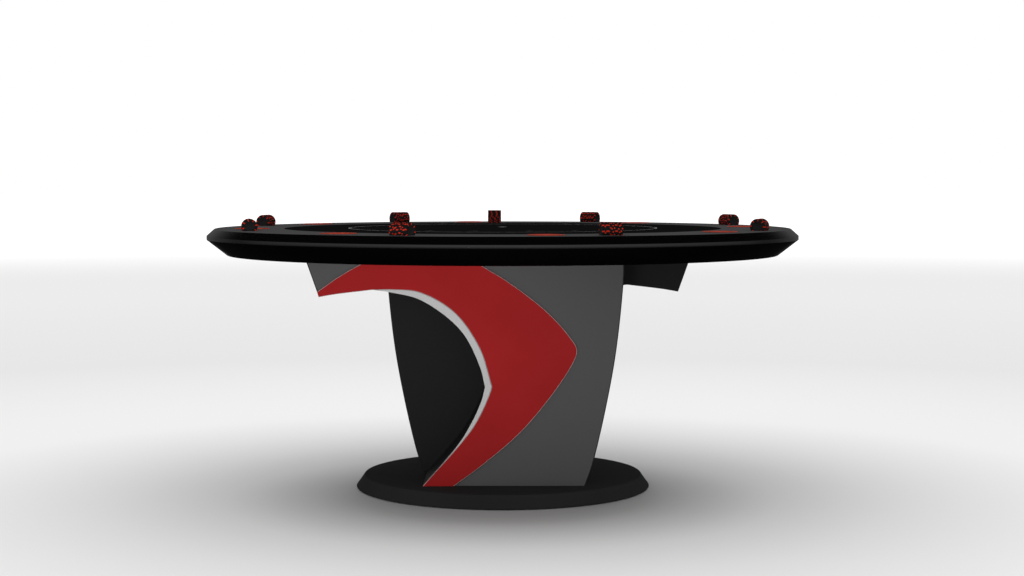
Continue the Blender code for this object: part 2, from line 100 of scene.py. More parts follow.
class Shader:
    """A material's node tree, with short calls for the nodes that the finishes are made of."""

    def __init__(self, name: str) -> None:
        """Start a material with its Principled shader.

        Args:
            name: The material's name.
        """
        self.material = bpy.data.materials.new(name)
        self.material.use_nodes = True
        self.tree = self.material.node_tree
        self.surface = self.tree.nodes["Principled BSDF"]

    def set(self, **values: float | Sequence[float]) -> None:
        """Set sockets of the Principled shader.

        Args:
            values: The sockets' values, by name with underscores for spaces.
        """
        for key, value in values.items():
            self.surface.inputs[key.replace("_", " ")].default_value = value

    def link(self, source: NodeSocket, node: Node, target: str | int) -> None:
        """Join an output to a node's input."""
        self.tree.links.new(source, node.inputs[target])

    def feed(self, source: NodeSocket, target: str) -> None:
        """Join an output to a socket of the Principled shader."""
        self.link(source, self.surface, target)

    def coordinates(self, stretch: Sequence[float] = (1.0, 1.0, 1.0), uv: str = "") -> NodeSocket:
        """Object coordinates, or a UV map's, stretched along their axes.

        Args:
            stretch: The scale along each axis.
            uv: A UV map's name, or nothing for object coordinates.

        Returns:
            The stretched coordinates.
        """
        if uv:
            node = self.tree.nodes.new("ShaderNodeUVMap")
            node.uv_map = uv
            source = node.outputs["UV"]
        else:
            source = self.tree.nodes.new("ShaderNodeTexCoord").outputs["Object"]
        mapping = self.tree.nodes.new("ShaderNodeMapping")
        mapping.inputs["Scale"].default_value = stretch
        self.link(source, mapping, "Vector")
        return mapping.outputs["Vector"]

    def noise(self, where: NodeSocket, scale: float, detail: float = 3.0) -> NodeSocket:
        """Soft noise, from 0 to 1.

        Args:
            where: The coordinates it reads.
            scale: Its scale, in features per metre.
            detail: Its number of finer layers.

        Returns:
            The noise's value.
        """
        node = self.tree.nodes.new("ShaderNodeTexNoise")
        node.inputs["Scale"].default_value = scale
        node.inputs["Detail"].default_value = detail
        self.link(where, node, "Vector")
        return node.outputs["Fac"]

    def bands(self, where: NodeSocket, axis: str, pitch: float, waver: float = 0.0) -> NodeSocket:
        """Straight bands across an axis.

        Args:
            where: The coordinates they read.
            axis: X, Y or Z.
            pitch: The distance from band to band.
            waver: How much noise bends them.

        Returns:
            The bands' value, from 0 to 1.
        """
        node = self.tree.nodes.new("ShaderNodeTexWave")
        node.bands_direction = axis
        node.inputs["Scale"].default_value = FULL_TURN / 20.0 / pitch
        node.inputs["Distortion"].default_value = waver
        self.link(where, node, "Vector")
        return node.outputs["Fac"]

    def cells(self, where: NodeSocket, scale: float) -> NodeSocket:
        """Small rounded cells, as for grain or flakes.

        Args:
            where: The coordinates they read.
            scale: Their scale, in cells per metre.

        Returns:
            The distance to the nearest cell's middle.
        """
        node = self.tree.nodes.new("ShaderNodeTexVoronoi")
        node.inputs["Scale"].default_value = scale
        self.link(where, node, "Vector")
        return node.outputs["Distance"]

    def combine(self, how: str, first: NodeSocket, second: NodeSocket | float) -> NodeSocket:
        """One value from two.

        Args:
            how: The Math node's operation.
            first: The first value.
            second: The second value, or a plain number.

        Returns:
            The result.
        """
        node = self.tree.nodes.new("ShaderNodeMath")
        node.operation = how
        self.link(first, node, 0)
        if isinstance(second, (int, float)):
            node.inputs[1].default_value = second
        else:
            self.link(second, node, 1)
        return node.outputs["Value"]

    def spread(self, value: NodeSocket, low: float, high: float) -> NodeSocket:
        """A value from 0 to 1 spread between two others.

        Args:
            value: The value.
            low: What 0 becomes.
            high: What 1 becomes.

        Returns:
            The spread value.
        """
        node = self.tree.nodes.new("ShaderNodeMapRange")
        node.inputs["To Min"].default_value = low
        node.inputs["To Max"].default_value = high
        self.link(value, node, "Value")
        return node.outputs["Result"]

    def tint(
        self,
        value: NodeSocket,
        dark: Colour,
        light: Colour,
        low: float = 0.3,
        high: float = 0.7,
    ) -> NodeSocket:
        """A colour between two, by a value.

        Args:
            value: What picks the colour.
            dark: The colour at the low end.
            light: The colour at the high end.
            low: The value at which the dark colour ends.
            high: The value at which the light colour starts.

        Returns:
            The colour.
        """
        node = self.tree.nodes.new("ShaderNodeValToRGB")
        stops = node.color_ramp.elements
        stops[0].position = low
        stops[0].color = (*dark, 1.0)
        stops[1].position = high
        stops[1].color = (*light, 1.0)
        self.link(value, node, "Fac")
        return node.outputs["Color"]

    def relief(self, height: NodeSocket, depth: float, under: NodeSocket | None = None) -> NodeSocket:
        """A surface relief.

        Args:
            height: The height pattern, from 0 to 1.
            depth: The relief's depth in metres.
            under: A coarser relief that this one lies on.

        Returns:
            The bent normal.
        """
        node = self.tree.nodes.new("ShaderNodeBump")
        node.inputs["Distance"].default_value = depth
        self.link(height, node, "Height")
        if under is not None:
            self.link(under, node, "Normal")
        return node.outputs["Normal"]


def shaded(colour: Colour, share: float) -> Colour:
    """A colour made lighter or darker by a share."""
    red, green, blue = (min(1.0, part * share) for part in colour)
    return red, green, blue


@dataclass(frozen=True)
class Finish:
    """A finish: its name, the record's slot it belongs to, its colour and its roughness.

    Mottling is how the colour drifts and wiping how the gloss does, each as (features per metre,
    how much either way).
    """

    mottling: ClassVar[Point] = (3.0, 0.1)
    wiping: ClassVar[Point] = (7.0, 0.05)

    name: str
    slot: str
    colour: Colour
    roughness: float

    @functools.cache
    def material(self) -> Material:
        """The finish's material, made once.

        Returns:
            The material.
        """
        shader = Shader(self.name)
        self.dress(shader)
        return shader.material

    def dress(self, shader: Shader) -> None:
        """Add the nodes that make the finish."""
        raise NotImplementedError

    def shades(self, dark: float, light: float) -> tuple[Colour, Colour]:
        """The finish's colour at two shares of its brightness."""
        return shaded(self.colour, dark), shaded(self.colour, light)

    def mottled(self, shader: Shader, where: NodeSocket) -> None:
        """Let the colour drift a little over the piece.

        Args:
            shader: The material.
            where: The coordinates it reads.
        """
        scale, depth = self.mottling
        dark, light = self.shades(1.0 - depth, 1.0 + depth)
        shader.feed(shader.tint(shader.noise(where, scale), dark, light), "Base Color")

    def uneven_gloss(self, shader: Shader, where: NodeSocket) -> None:
        """Let the roughness drift, as where a cloth has wiped.

        Args:
            shader: The material.
            where: The coordinates it reads.
        """
        scale, depth = self.wiping
        wiped = shader.noise(where, scale, 5.0)
        low, high = self.roughness - depth, self.roughness + depth
        shader.feed(shader.spread(wiped, low, high), "Roughness")


@dataclass(frozen=True)
class Lacquer(Finish):
    """Sprayed lacquer: a faint orange peel, with wipe marks and dust."""

    mottling: ClassVar[Point] = (3.0, 0.12)
    peel_scale: ClassVar[float] = 260.0
    peel_depth: ClassVar[float] = 0.00003
    dust_scale: ClassVar[float] = 2200.0
    dust_depth: ClassVar[float] = 0.000004

    specular: float = 0.5

    def dress(self, shader: Shader) -> None:
        """Add the peel, the dust and the drifting gloss.

        Args:
            shader: The material that takes the finish.
        """
        where = shader.coordinates()
        self.mottled(shader, where)
        self.uneven_gloss(shader, where)
        peel = shader.relief(shader.noise(where, self.peel_scale, 1.0), self.peel_depth)
        dust = shader.noise(where, self.dust_scale, 2.0)
        shader.feed(shader.relief(dust, self.dust_depth, peel), "Normal")
        shader.set(Specular_IOR_Level=self.specular)


@dataclass(frozen=True)
class Laminate(Finish):
    """Pressed laminate: a fine pebbled grain with specks a little lighter and darker."""

    wiping: ClassVar[Point] = (9.0, 0.04)
    speck_scale: ClassVar[float] = 1400.0
    speck_share: ClassVar[float] = 0.35
    drift_scale: ClassVar[float] = 4.0
    both_share: ClassVar[float] = 0.72
    pebble_scale: ClassVar[float] = 900.0

    specular: float = 0.35
    grain: float = 0.00005

    def dress(self, shader: Shader) -> None:
        """Add the specks, the pebbled relief and the drifting gloss.

        Args:
            shader: The material that takes the finish.
        """
        where = shader.coordinates()
        specks = shader.noise(where, self.speck_scale, 2.0)
        drift = shader.noise(where, self.drift_scale)
        raised = shader.combine("MULTIPLY_ADD", specks, self.speck_share)
        both = shader.combine("MULTIPLY", shader.combine("ADD", raised, drift), self.both_share)
        shader.feed(shader.tint(both, *self.shades(0.88, 1.12)), "Base Color")
        self.uneven_gloss(shader, where)
        pebbles = shader.cells(where, self.pebble_scale)
        shader.feed(shader.relief(pebbles, self.grain), "Normal")
        shader.set(Specular_IOR_Level=self.specular)


@dataclass(frozen=True)
class SatinPanel(Finish):
    """A coloured acrylic panel: smooth, softly glossy, faintly brushed by cleaning."""

    mottling: ClassVar[Point] = (5.0, 0.05)
    wiping: ClassVar[Point] = (11.0, 0.04)
    streak_stretch: ClassVar[Place] = (6.0, 6.0, 700.0)
    streak_depth: ClassVar[float] = 0.000008

    specular: float = 0.4

    def dress(self, shader: Shader) -> None:
        """Add the cleaning marks and the soft gloss.

        Args:
            shader: The material that takes the finish.
        """
        where = shader.coordinates()
        self.mottled(shader, where)
        self.uneven_gloss(shader, where)
        streaks = shader.noise(shader.coordinates(self.streak_stretch), 1.5, 4.0)
        shader.feed(shader.relief(streaks, self.streak_depth), "Normal")
        shader.set(Specular_IOR_Level=self.specular)


@dataclass(frozen=True)
class SilverPaint(Finish):
    """Silver paint with fine metal flakes."""

    wiping: ClassVar[Point] = (20.0, 0.05)
    flake_scale: ClassVar[float] = 2600.0
    flake_depth: ClassVar[float] = 0.00001

    metallic: float = 0.35

    def dress(self, shader: Shader) -> None:
        """Add the flakes to colour and relief.

        Args:
            shader: The material that takes the finish.
        """
        where = shader.coordinates()
        flakes = shader.cells(where, self.flake_scale)
        dark, light = self.shades(0.85, 1.1)
        shader.feed(shader.tint(flakes, light, dark, 0.1, 0.8), "Base Color")
        self.uneven_gloss(shader, where)
        shader.feed(shader.relief(flakes, self.flake_depth), "Normal")
        shader.set(Metallic=self.metallic)


@dataclass(frozen=True)
class Woven(Finish):
    """What the cloth and the ink printed on it share: crossed threads."""

    thread: ClassVar[float] = 0.0011
    thread_waver: ClassVar[float] = 0.15

    def weave(self, shader: Shader, where: NodeSocket) -> NodeSocket:
        """The crossed threads.

        Args:
            shader: The material.
            where: The coordinates they read.

        Returns:
            Their height, from 0 to 1.
        """
        warp = shader.bands(where, "X", self.thread, self.thread_waver)
        weft = shader.bands(where, "Y", self.thread, self.thread_waver)
        return shader.combine("MAXIMUM", warp, weft)


@dataclass(frozen=True)
class SpeedCloth(Woven):
    """Tightly woven speed cloth: crossed threads, a soft nap and faint lighter wear."""

    nap_scale: ClassVar[float] = 3200.0
    wear_scale: ClassVar[float] = 2.2
    thread_depth: ClassVar[float] = 0.00009

    def dress(self, shader: Shader) -> None:
        """Add the weave, the nap and the wear.

        Args:
            shader: The material that takes the finish.
        """
        where = shader.coordinates()
        nap = shader.spread(shader.noise(where, self.nap_scale), 0.7, 1.0)
        cloth = shader.combine("MULTIPLY", self.weave(shader, where), nap)
        wear = shader.spread(shader.noise(where, self.wear_scale), 0.75, 1.1)
        worn = shader.combine("MULTIPLY", cloth, wear)
        shader.feed(shader.tint(worn, *self.shades(0.55, 1.5), 0.2, 0.95), "Base Color")
        shader.feed(shader.relief(cloth, self.thread_depth), "Normal")
        shader.set(Roughness=self.roughness, Specular_IOR_Level=0.0)


@dataclass(frozen=True)
class Print(Woven):
    """Ink printed on the cloth, broken up a little by the threads."""

    wear_scale: ClassVar[float] = 90.0
    thread_depth: ClassVar[float] = 0.00005

    def dress(self, shader: Shader) -> None:
        """Add the broken ink.

        Args:
            shader: The material that takes the finish.
        """
        where = shader.coordinates()
        weave = self.weave(shader, where)
        wear = shader.spread(shader.noise(where, self.wear_scale), 0.6, 1.1)
        worn = shader.combine("MULTIPLY", weave, wear)
        shader.feed(shader.tint(worn, *self.shades(0.55, 1.0), 0.2), "Base Color")
        shader.feed(shader.relief(weave, self.thread_depth), "Normal")
        shader.set(Roughness=self.roughness, Specular_IOR_Level=0.15)


@dataclass(frozen=True)
class ChipClay(Finish):
    """Moulded chip composite: fine-grained, slightly waxy, with dust in the pores."""

    mottling: ClassVar[Point] = (350.0, 0.18)
    wiping: ClassVar[Point] = (160.0, 0.08)
    pore_scale: ClassVar[float] = 1500.0
    pore_depth: ClassVar[float] = 0.00003

    def dress(self, shader: Shader) -> None:
        """Add the grain and pores.

        Args:
            shader: The material that takes the finish.
        """
        where = shader.coordinates()
        self.mottled(shader, where)
        self.uneven_gloss(shader, where)
        pores = shader.cells(where, self.pore_scale)
        shader.feed(shader.relief(pores, self.pore_depth), "Normal")
        shader.set(Specular_IOR_Level=0.08)


@dataclass(frozen=True)
class AnodisedMetal(Finish):
    """Spun and anodised aluminium: fine rings round the piece, under a coloured skin."""

    line_stretch: ClassVar[Place] = (2.0, 900.0, 1.0)
    line_depth: ClassVar[float] = 0.00002
    gloss_reach: ClassVar[Point] = (-0.06, 0.08)

    metallic: float = 0.5

    def dress(self, shader: Shader) -> None:
        """Add the spinning lines, read round the piece from its own UV map.

        Args:
            shader: The material that takes the finish.
        """
        lines = shader.noise(shader.coordinates(self.line_stretch, WRAP_MAP), 2.0, 5.0)
        shader.feed(shader.tint(lines, *self.shades(0.82, 1.12)), "Base Color")
        low, high = (self.roughness + reach for reach in self.gloss_reach)
        shader.feed(shader.spread(lines, low, high), "Roughness")
        shader.feed(shader.relief(lines, self.line_depth), "Normal")
        shader.set(Metallic=self.metallic)


@dataclass(frozen=True)
class Plywood(Finish):
    """Bare plywood: long grain on the faces and stacked plies at the edges."""

    ply: ClassVar[float] = 0.0015
    ply_share: ClassVar[float] = 0.35
    grain_stretch: ClassVar[Place] = (8.0, 120.0, 120.0)
    grain_depth: ClassVar[float] = 0.0001

    def dress(self, shader: Shader) -> None:
        """Add the grain and the plies.

        Args:
            shader: The material that takes the finish.
        """
        grain = shader.noise(shader.coordinates(self.grain_stretch), 2.0, 6.0)
        plies = shader.bands(shader.coordinates(), "Z", 2 * self.ply)
        both = shader.combine("ADD", shader.combine("MULTIPLY", plies, self.ply_share), grain)
        shader.feed(shader.tint(both, *self.shades(0.62, 1.15), 0.35, 0.85), "Base Color")
        shader.feed(shader.relief(grain, self.grain_depth), "Normal")
        shader.set(Roughness=self.roughness, Specular_IOR_Level=0.2)


@dataclass(frozen=True)
class PlainSteel(Finish):
    """Mill-finished steel with drawn lines and faint stains."""

    mottling: ClassVar[Point] = (18.0, 0.2)
    line_stretch: ClassVar[Place] = (700.0, 700.0, 10.0)
    line_depth: ClassVar[float] = 0.00001
    gloss_reach: ClassVar[float] = 0.1

    def dress(self, shader: Shader) -> None:
        """Add the lines and stains.

        Args:
            shader: The material that takes the finish.
        """
        self.mottled(shader, shader.coordinates())
        lines = shader.noise(shader.coordinates(self.line_stretch), 1.0, 4.0)
        low, high = self.roughness - self.gloss_reach, self.roughness + self.gloss_reach
        shader.feed(shader.spread(lines, low, high), "Roughness")
        shader.feed(shader.relief(lines, self.line_depth), "Normal")
        shader.set(Metallic=1.0)


@dataclass(frozen=True)
class MouldedPlastic(Finish):
    """Moulded plastic with a spark-eroded texture."""

    mottling: ClassVar[Point] = (30.0, 0.15)
    wiping: ClassVar[Point] = (60.0, 0.08)
    texture_scale: ClassVar[float] = 1800.0
    texture_depth: ClassVar[float] = 0.00004

    def dress(self, shader: Shader) -> None:
        """Add the texture.

        Args:
            shader: The material that takes the finish.
        """
        where = shader.coordinates()
        self.mottled(shader, where)
        self.uneven_gloss(shader, where)
        texture = shader.noise(where, self.texture_scale)
        shader.feed(shader.relief(texture, self.texture_depth), "Normal")
        shader.set(Specular_IOR_Level=0.4)


RIM_LACQUER = Lacquer("rim_lacquer", "black_lacquer", (0.0003, 0.0003, 0.00035), 0.2, 0.24)
BASE_LACQUER = Lacquer("base_lacquer", "black_lacquer", (0.0195, 0.0195, 0.0197), 0.34, 0.001)
RAIL_LAMINATE = Laminate("rail_top", "rail_laminate", (0.049, 0.049, 0.0503), 0.5, 0.0)
GREY_LAMINATE = Laminate("face_laminate", "grey_laminate", (0.0615, 0.0615, 0.062), 0.42, 0.08)
BLACK_LAMINATE = Laminate("inner_laminate", "black_laminate", (0.0105, 0.0105, 0.0106), 0.45, 0.06)
EDGE_BAND = Laminate("edge_band", "black_laminate", (0.010, 0.010, 0.010), 0.35, 0.2, 0.00002)
RED_PANEL = SatinPanel("red_acrylic", "red_panel", (0.268, 0.0135, 0.0142), 0.32, 0.015)
# The red panel's rounding in a light pinkish grey: a painted highlight where the edge would catch the
# floor's light.
RED_EDGE_PAINTED_HIGHLIGHT = SatinPanel("red_edge_painted_highlight", "red_panel", (0.36, 0.27, 0.27), 0.4, 0.2)
SILVER_TRIM = SilverPaint("silver_paint", "silver_trim", (0.455, 0.452, 0.452), 0.45, 0.05)
BLACK_CLOTH = SpeedCloth("speed_cloth", "black_cloth", (0.0052, 0.0052, 0.0054), 0.95)
CLOTH_PRINT = Print("cloth_print", "black_cloth", (0.23, 0.23, 0.23), 0.85)
FAINT_PRINT = Print("faint_print", "black_cloth", (0.035, 0.035, 0.036), 0.85)
ORANGE_CUP = AnodisedMetal("anodised_cup", "orange_cup", (0.46, 0.034, 0.008), 0.36, 0.25)
CHIP_BLACK = ChipClay("chip_black", "chip", (0.0055, 0.0055, 0.0057), 0.55)
CHIP_RED = ChipClay("chip_red", "chip", (0.40, 0.016, 0.004), 0.55)
CHIP_INLAY = ChipClay("chip_inlay", "chip", (0.008, 0.008, 0.0082), 0.5)
PLYWOOD = Plywood("bare_plywood", "plywood", (0.50, 0.36, 0.22), 0.7)
STEEL = PlainSteel("mill_steel", "steel", (0.45, 0.45, 0.46), 0.4)
GLIDE_PLASTIC = MouldedPlastic("glide_plastic", "glide", (0.02, 0.02, 0.02), 0.6)


# --------------------------------------------------------------------------------------------------
# Shapes
# --------------------------------------------------------------------------------------------------


def turned(profile: Iterable[Point], steps: int, closed: bool = False) -> BMesh:
    """A profile spun about Z.

    Args:
        profile: Points as (radius, z).
        steps: The number of steps round.
        closed: Whether the profile's last point joins its first.

    Returns:
        The closed solid.
    """
    shape = bmesh.new()
    corners = [shape.verts.new((radius, 0.0, z)) for radius, z in profile]
    edges = [shape.edges.new(pair) for pair in zip(corners, corners[1:])]
    if closed:
        edges.append(shape.edges.new((corners[-1], corners[0])))
    bmesh.ops.spin(
        shape, geom=corners + edges, axis=(0, 0, 1), angle=FULL_TURN, steps=steps, use_merge=True
    )
    return outward(shape)


def outward(shape: BMesh) -> BMesh:
    """Merge a shape's doubles and turn its faces outwards.

    Args:
        shape: The shape.

    Returns:
        The same shape.
    """
    bmesh.ops.remove_doubles(shape, verts=shape.verts, dist=1e-6)
    bmesh.ops.recalc_face_normals(shape, faces=shape.faces)
    return shape


def prism(outline: Sequence[Vector], near: float, far: float) -> BMesh:
    """An outline in the XZ plane with a thickness along Y.

    Args:
        outline: Its points as (x, z), in order.
        near: The y of its front face.
        far: The y of its back face.

    Returns:
        The closed solid.
    """
    shape = bmesh.new()
    face = shape.faces.new([shape.verts.new((p.x, near, p.y)) for p in outline])
    grown = bmesh.ops.extrude_face_region(shape, geom=[face])
    moved = [item for item in grown["geom"] if isinstance(item, BMVert)]
    bmesh.ops.translate(shape, vec=(0.0, far - near, 0.0), verts=moved)
    return outward(shape)


def ease(
    shape: BMesh,
    width: float,
    segments: int = 3,
    sharper_than: float = 25.0,
    where: Callable[[BMEdge], bool] = lambda edge: True,
) -> BMesh:
    """Round a shape's sharp edges.

    Args:
        shape: The shape.
        width: The width taken off each side of an edge.
        segments: The steps across the rounding.
        sharper_than: The least angle in degrees of an edge that is rounded.
        where: Which of those edges to round.

    Returns:
        The same shape.
    """
    least = math.radians(sharper_than)
    edges = [e for e in shape.edges if e.calc_face_angle(0.0) > least and where(e)]
    bmesh.ops.bevel(
        shape,
        geom=edges,
        offset=width,
        segments=segments,
        affect="EDGES",
        profile=0.5,
        material=-1,
        clamp_overlap=True,
    )
    return shape


def smooth_run(points: Sequence[Point], steps: int = 14) -> list[Vector]:
    """Points along a smooth centripetal curve through the given ones.

    Args:
        points: The (x, z) points it passes through.
        steps: The points made for each stretch.

    Returns:
        The points along the curve, ends included.
    """
    knots = [Vector(p) for p in points]
    knots = [2 * knots[0] - knots[1], *knots, 2 * knots[-1] - knots[-2]]
    run = []
    for a, b, c, d in zip(knots, knots[1:], knots[2:], knots[3:]):
        t1 = math.sqrt((b - a).length)
        t2 = t1 + math.sqrt((c - b).length)
        t3 = t2 + math.sqrt((d - c).length)
        for step in range(steps):
            t = t1 + (t2 - t1) * step / steps
            ab = a.lerp(b, t / t1)
            bc = b.lerp(c, (t - t1) / (t2 - t1))
            cd = c.lerp(d, (t - t2) / (t3 - t2))
            abc = ab.lerp(bc, t / t2)
            bcd = bc.lerp(cd, (t - t1) / (t3 - t1))
            run.append(abc.lerp(bcd, (t - t1) / (t2 - t1)))
    run.append(knots[-2])
    return run


def joined(*runs: Iterable[Vector | Point]) -> list[Vector]:
    """One outline from runs that follow on, with each shared end kept once.

    Args:
        runs: The runs of points, in order.

    Returns:
        The outline.
    """
    outline: list[Vector] = []
    for run in runs:
        for point in run:
            if not outline or (Vector(point) - outline[-1]).length > 1e-6:
                outline.append(Vector(point))
    if (outline[0] - outline[-1]).length < 1e-6:
        outline.pop()
    return outline


def cylinder(shape: BMesh, radius: float, depth: float, place: Matrix, steps: int) -> None:
    """Add a closed cylinder to a shape.

    Args:
        shape: The shape.
        radius: The cylinder's radius.
        depth: Its length along its place's Z.
        place: Its place.
        steps: Its number of sides.
    """
    bmesh.ops.create_cone(
        shape,
        cap_ends=True,
        segments=steps,
        radius1=radius,
        radius2=radius,
        depth=depth,
        matrix=place,
    )


def carved(shape: BMesh, cutters: BMesh) -> BMesh:
    """A shape with the cutters' shapes taken out of it.

    Args:
        shape: The shape. It is used up.
        cutters: The cutters, in place. They are used up.

    Returns:
        The carved shape.
    """
    objects = []
    for name, source in (("carved", shape), ("cutters", cutters)):
        mesh = bpy.data.meshes.new(name)
        source.to_mesh(mesh)
        source.free()
        obj = bpy.data.objects.new(name, mesh)
        bpy.context.scene.collection.objects.link(obj)
        objects.append(obj)
    boolean = objects[0].modifiers.new("cut", "BOOLEAN")
    boolean.operation = "DIFFERENCE"
    boolean.solver = "EXACT"
    boolean.object = objects[1]
    result = bmesh.new()
    result.from_object(objects[0], bpy.context.evaluated_depsgraph_get())
    for obj in objects:
        mesh = obj.data
        bpy.data.objects.remove(obj)
        bpy.data.meshes.remove(mesh)
    bmesh.ops.remove_doubles(result, verts=result.verts, dist=1e-5)
    return result


@dataclass
class Screws:
    """Low domed screw heads on a circle under a board, each with a round recess."""

    count: int
    circle: float
    radius: float
    height: float = 0.0014
    steps: int = 24
    face_share: float = 0.78
    rim_share: float = 0.42
    recess_depth: float = 0.0009

    def heads(self, level: float) -> BMesh:
        """Make the heads.

        Args:
            level: The board's lower face.

        Returns:
            The heads.
        """
        shape = bmesh.new()
        for number in range(self.count):
            turn = FULL_TURN * (number + 0.5) / self.count
            across, along = self.circle * math.cos(turn), self.circle * math.sin(turn)
            made = bmesh.ops.create_cone(
                shape,
                cap_ends=True,
                segments=self.steps,
                radius1=self.radius * self.face_share,
                radius2=self.radius,
                depth=self.height,
                matrix=Matrix.Translation((across, along, level - self.height / 2)),
            )
            faces = {face for vert in made["verts"] for face in vert.link_faces}
            lowest = min(faces, key=lambda face: face.calc_center_median().z)
            rim = self.radius * self.rim_share
            bmesh.ops.inset_region(shape, faces=[lowest], thickness=rim)
            bmesh.ops.translate(shape, vec=(0, 0, self.recess_depth), verts=lowest.verts)
        return outward(shape)


def wrap(shape: BMesh, centre: Vector) -> None:
    """Give a turned shape a UV map that runs round it and down its profile.

    Args:
        shape: The shape.
        centre: A point on its upright axis.
    """
    layer = shape.loops.layers.uv.new(WRAP_MAP)
    for face in shape.faces:
        middle = face.calc_center_median() - centre
        home = math.atan2(middle.y, middle.x)
        for loop in face.loops:
            arm = loop.vert.co - centre
            turn = math.atan2(arm.y, arm.x) - home
            turn -= FULL_TURN * round(turn / FULL_TURN)
            down = math.hypot(arm.x, arm.y) - arm.z
            loop[layer].uv = ((home + turn) / FULL_TURN, down)


def piece(
    name: str,
    shape: BMesh,
    finishes: Sequence[Finish],
    body: str = TABLE_BODY,
    stands_for: Sequence[str] = (),
) -> Object:
    """Make a finished piece: its mesh, finishes, body and the nodes it stands for.

    Args:
        name: The piece's name.
        shape: Its shape, in place. It is used up.
        finishes: One finish for each material index.
        body: The body it rides on.
        stands_for: The nodes that it replaces.

    Returns:
        The piece.
    """
    open_edges = sum(not edge.is_manifold for edge in shape.edges)
    if open_edges:
        log.warning("%s has %d open edges", name, open_edges)
    mesh = bpy.data.meshes.new(name)
    shape.to_mesh(mesh)
    shape.free()
    mesh.shade_smooth()
    mesh.set_sharp_from_angle(angle=SHARP_CREASE)
    for face in mesh.polygons:
        face.use_smooth = len(face.vertices) <= MOST_CORNERS_OF_CURVED_FACE
    for finish in finishes:
        mesh.materials.append(finish.material())
    obj = bpy.data.objects.new(name, mesh)
    bpy.context.scene.collection.objects.link(obj)
    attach(obj, body)
    if stands_for:
        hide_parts(*stands_for)
    log.info("%s: %d faces", name, len(mesh.polygons))
    return obj


def span(node: str) -> tuple[float, float]:
    """The lowest and highest z of a node."""
    low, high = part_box(node)
    return low.z, high.z


def radius_of(node: str) -> float:
    """The radius of a round node centred on the table's axis."""
    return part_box(node)[1].x


def centre_of(node: str) -> Vector:
    """The middle of a node's box."""
    low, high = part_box(node)
    return (low + high) / 2


def lying(node: str, angle: float) -> Matrix:
    """The place of a row that lies on its side.

    Args:
        node: The row's node.
        angle: The way its axis points, in degrees round Z.

    Returns:
        The place, whose Z is the row's axis.
    """
    aside = Matrix.Rotation(math.radians(angle), 4, "Z")
    return Matrix.Translation(centre_of(node)) @ aside @ Matrix.Rotation(math.pi / 2, 4, "Y")


def numbered(stem: str, count: int = 8) -> list[str]:
    """The names of a numbered set of nodes."""
    return [f"{stem}_{number}" for number in range(1, count + 1)]


# --------------------------------------------------------------------------------------------------
# The round top
# --------------------------------------------------------------------------------------------------


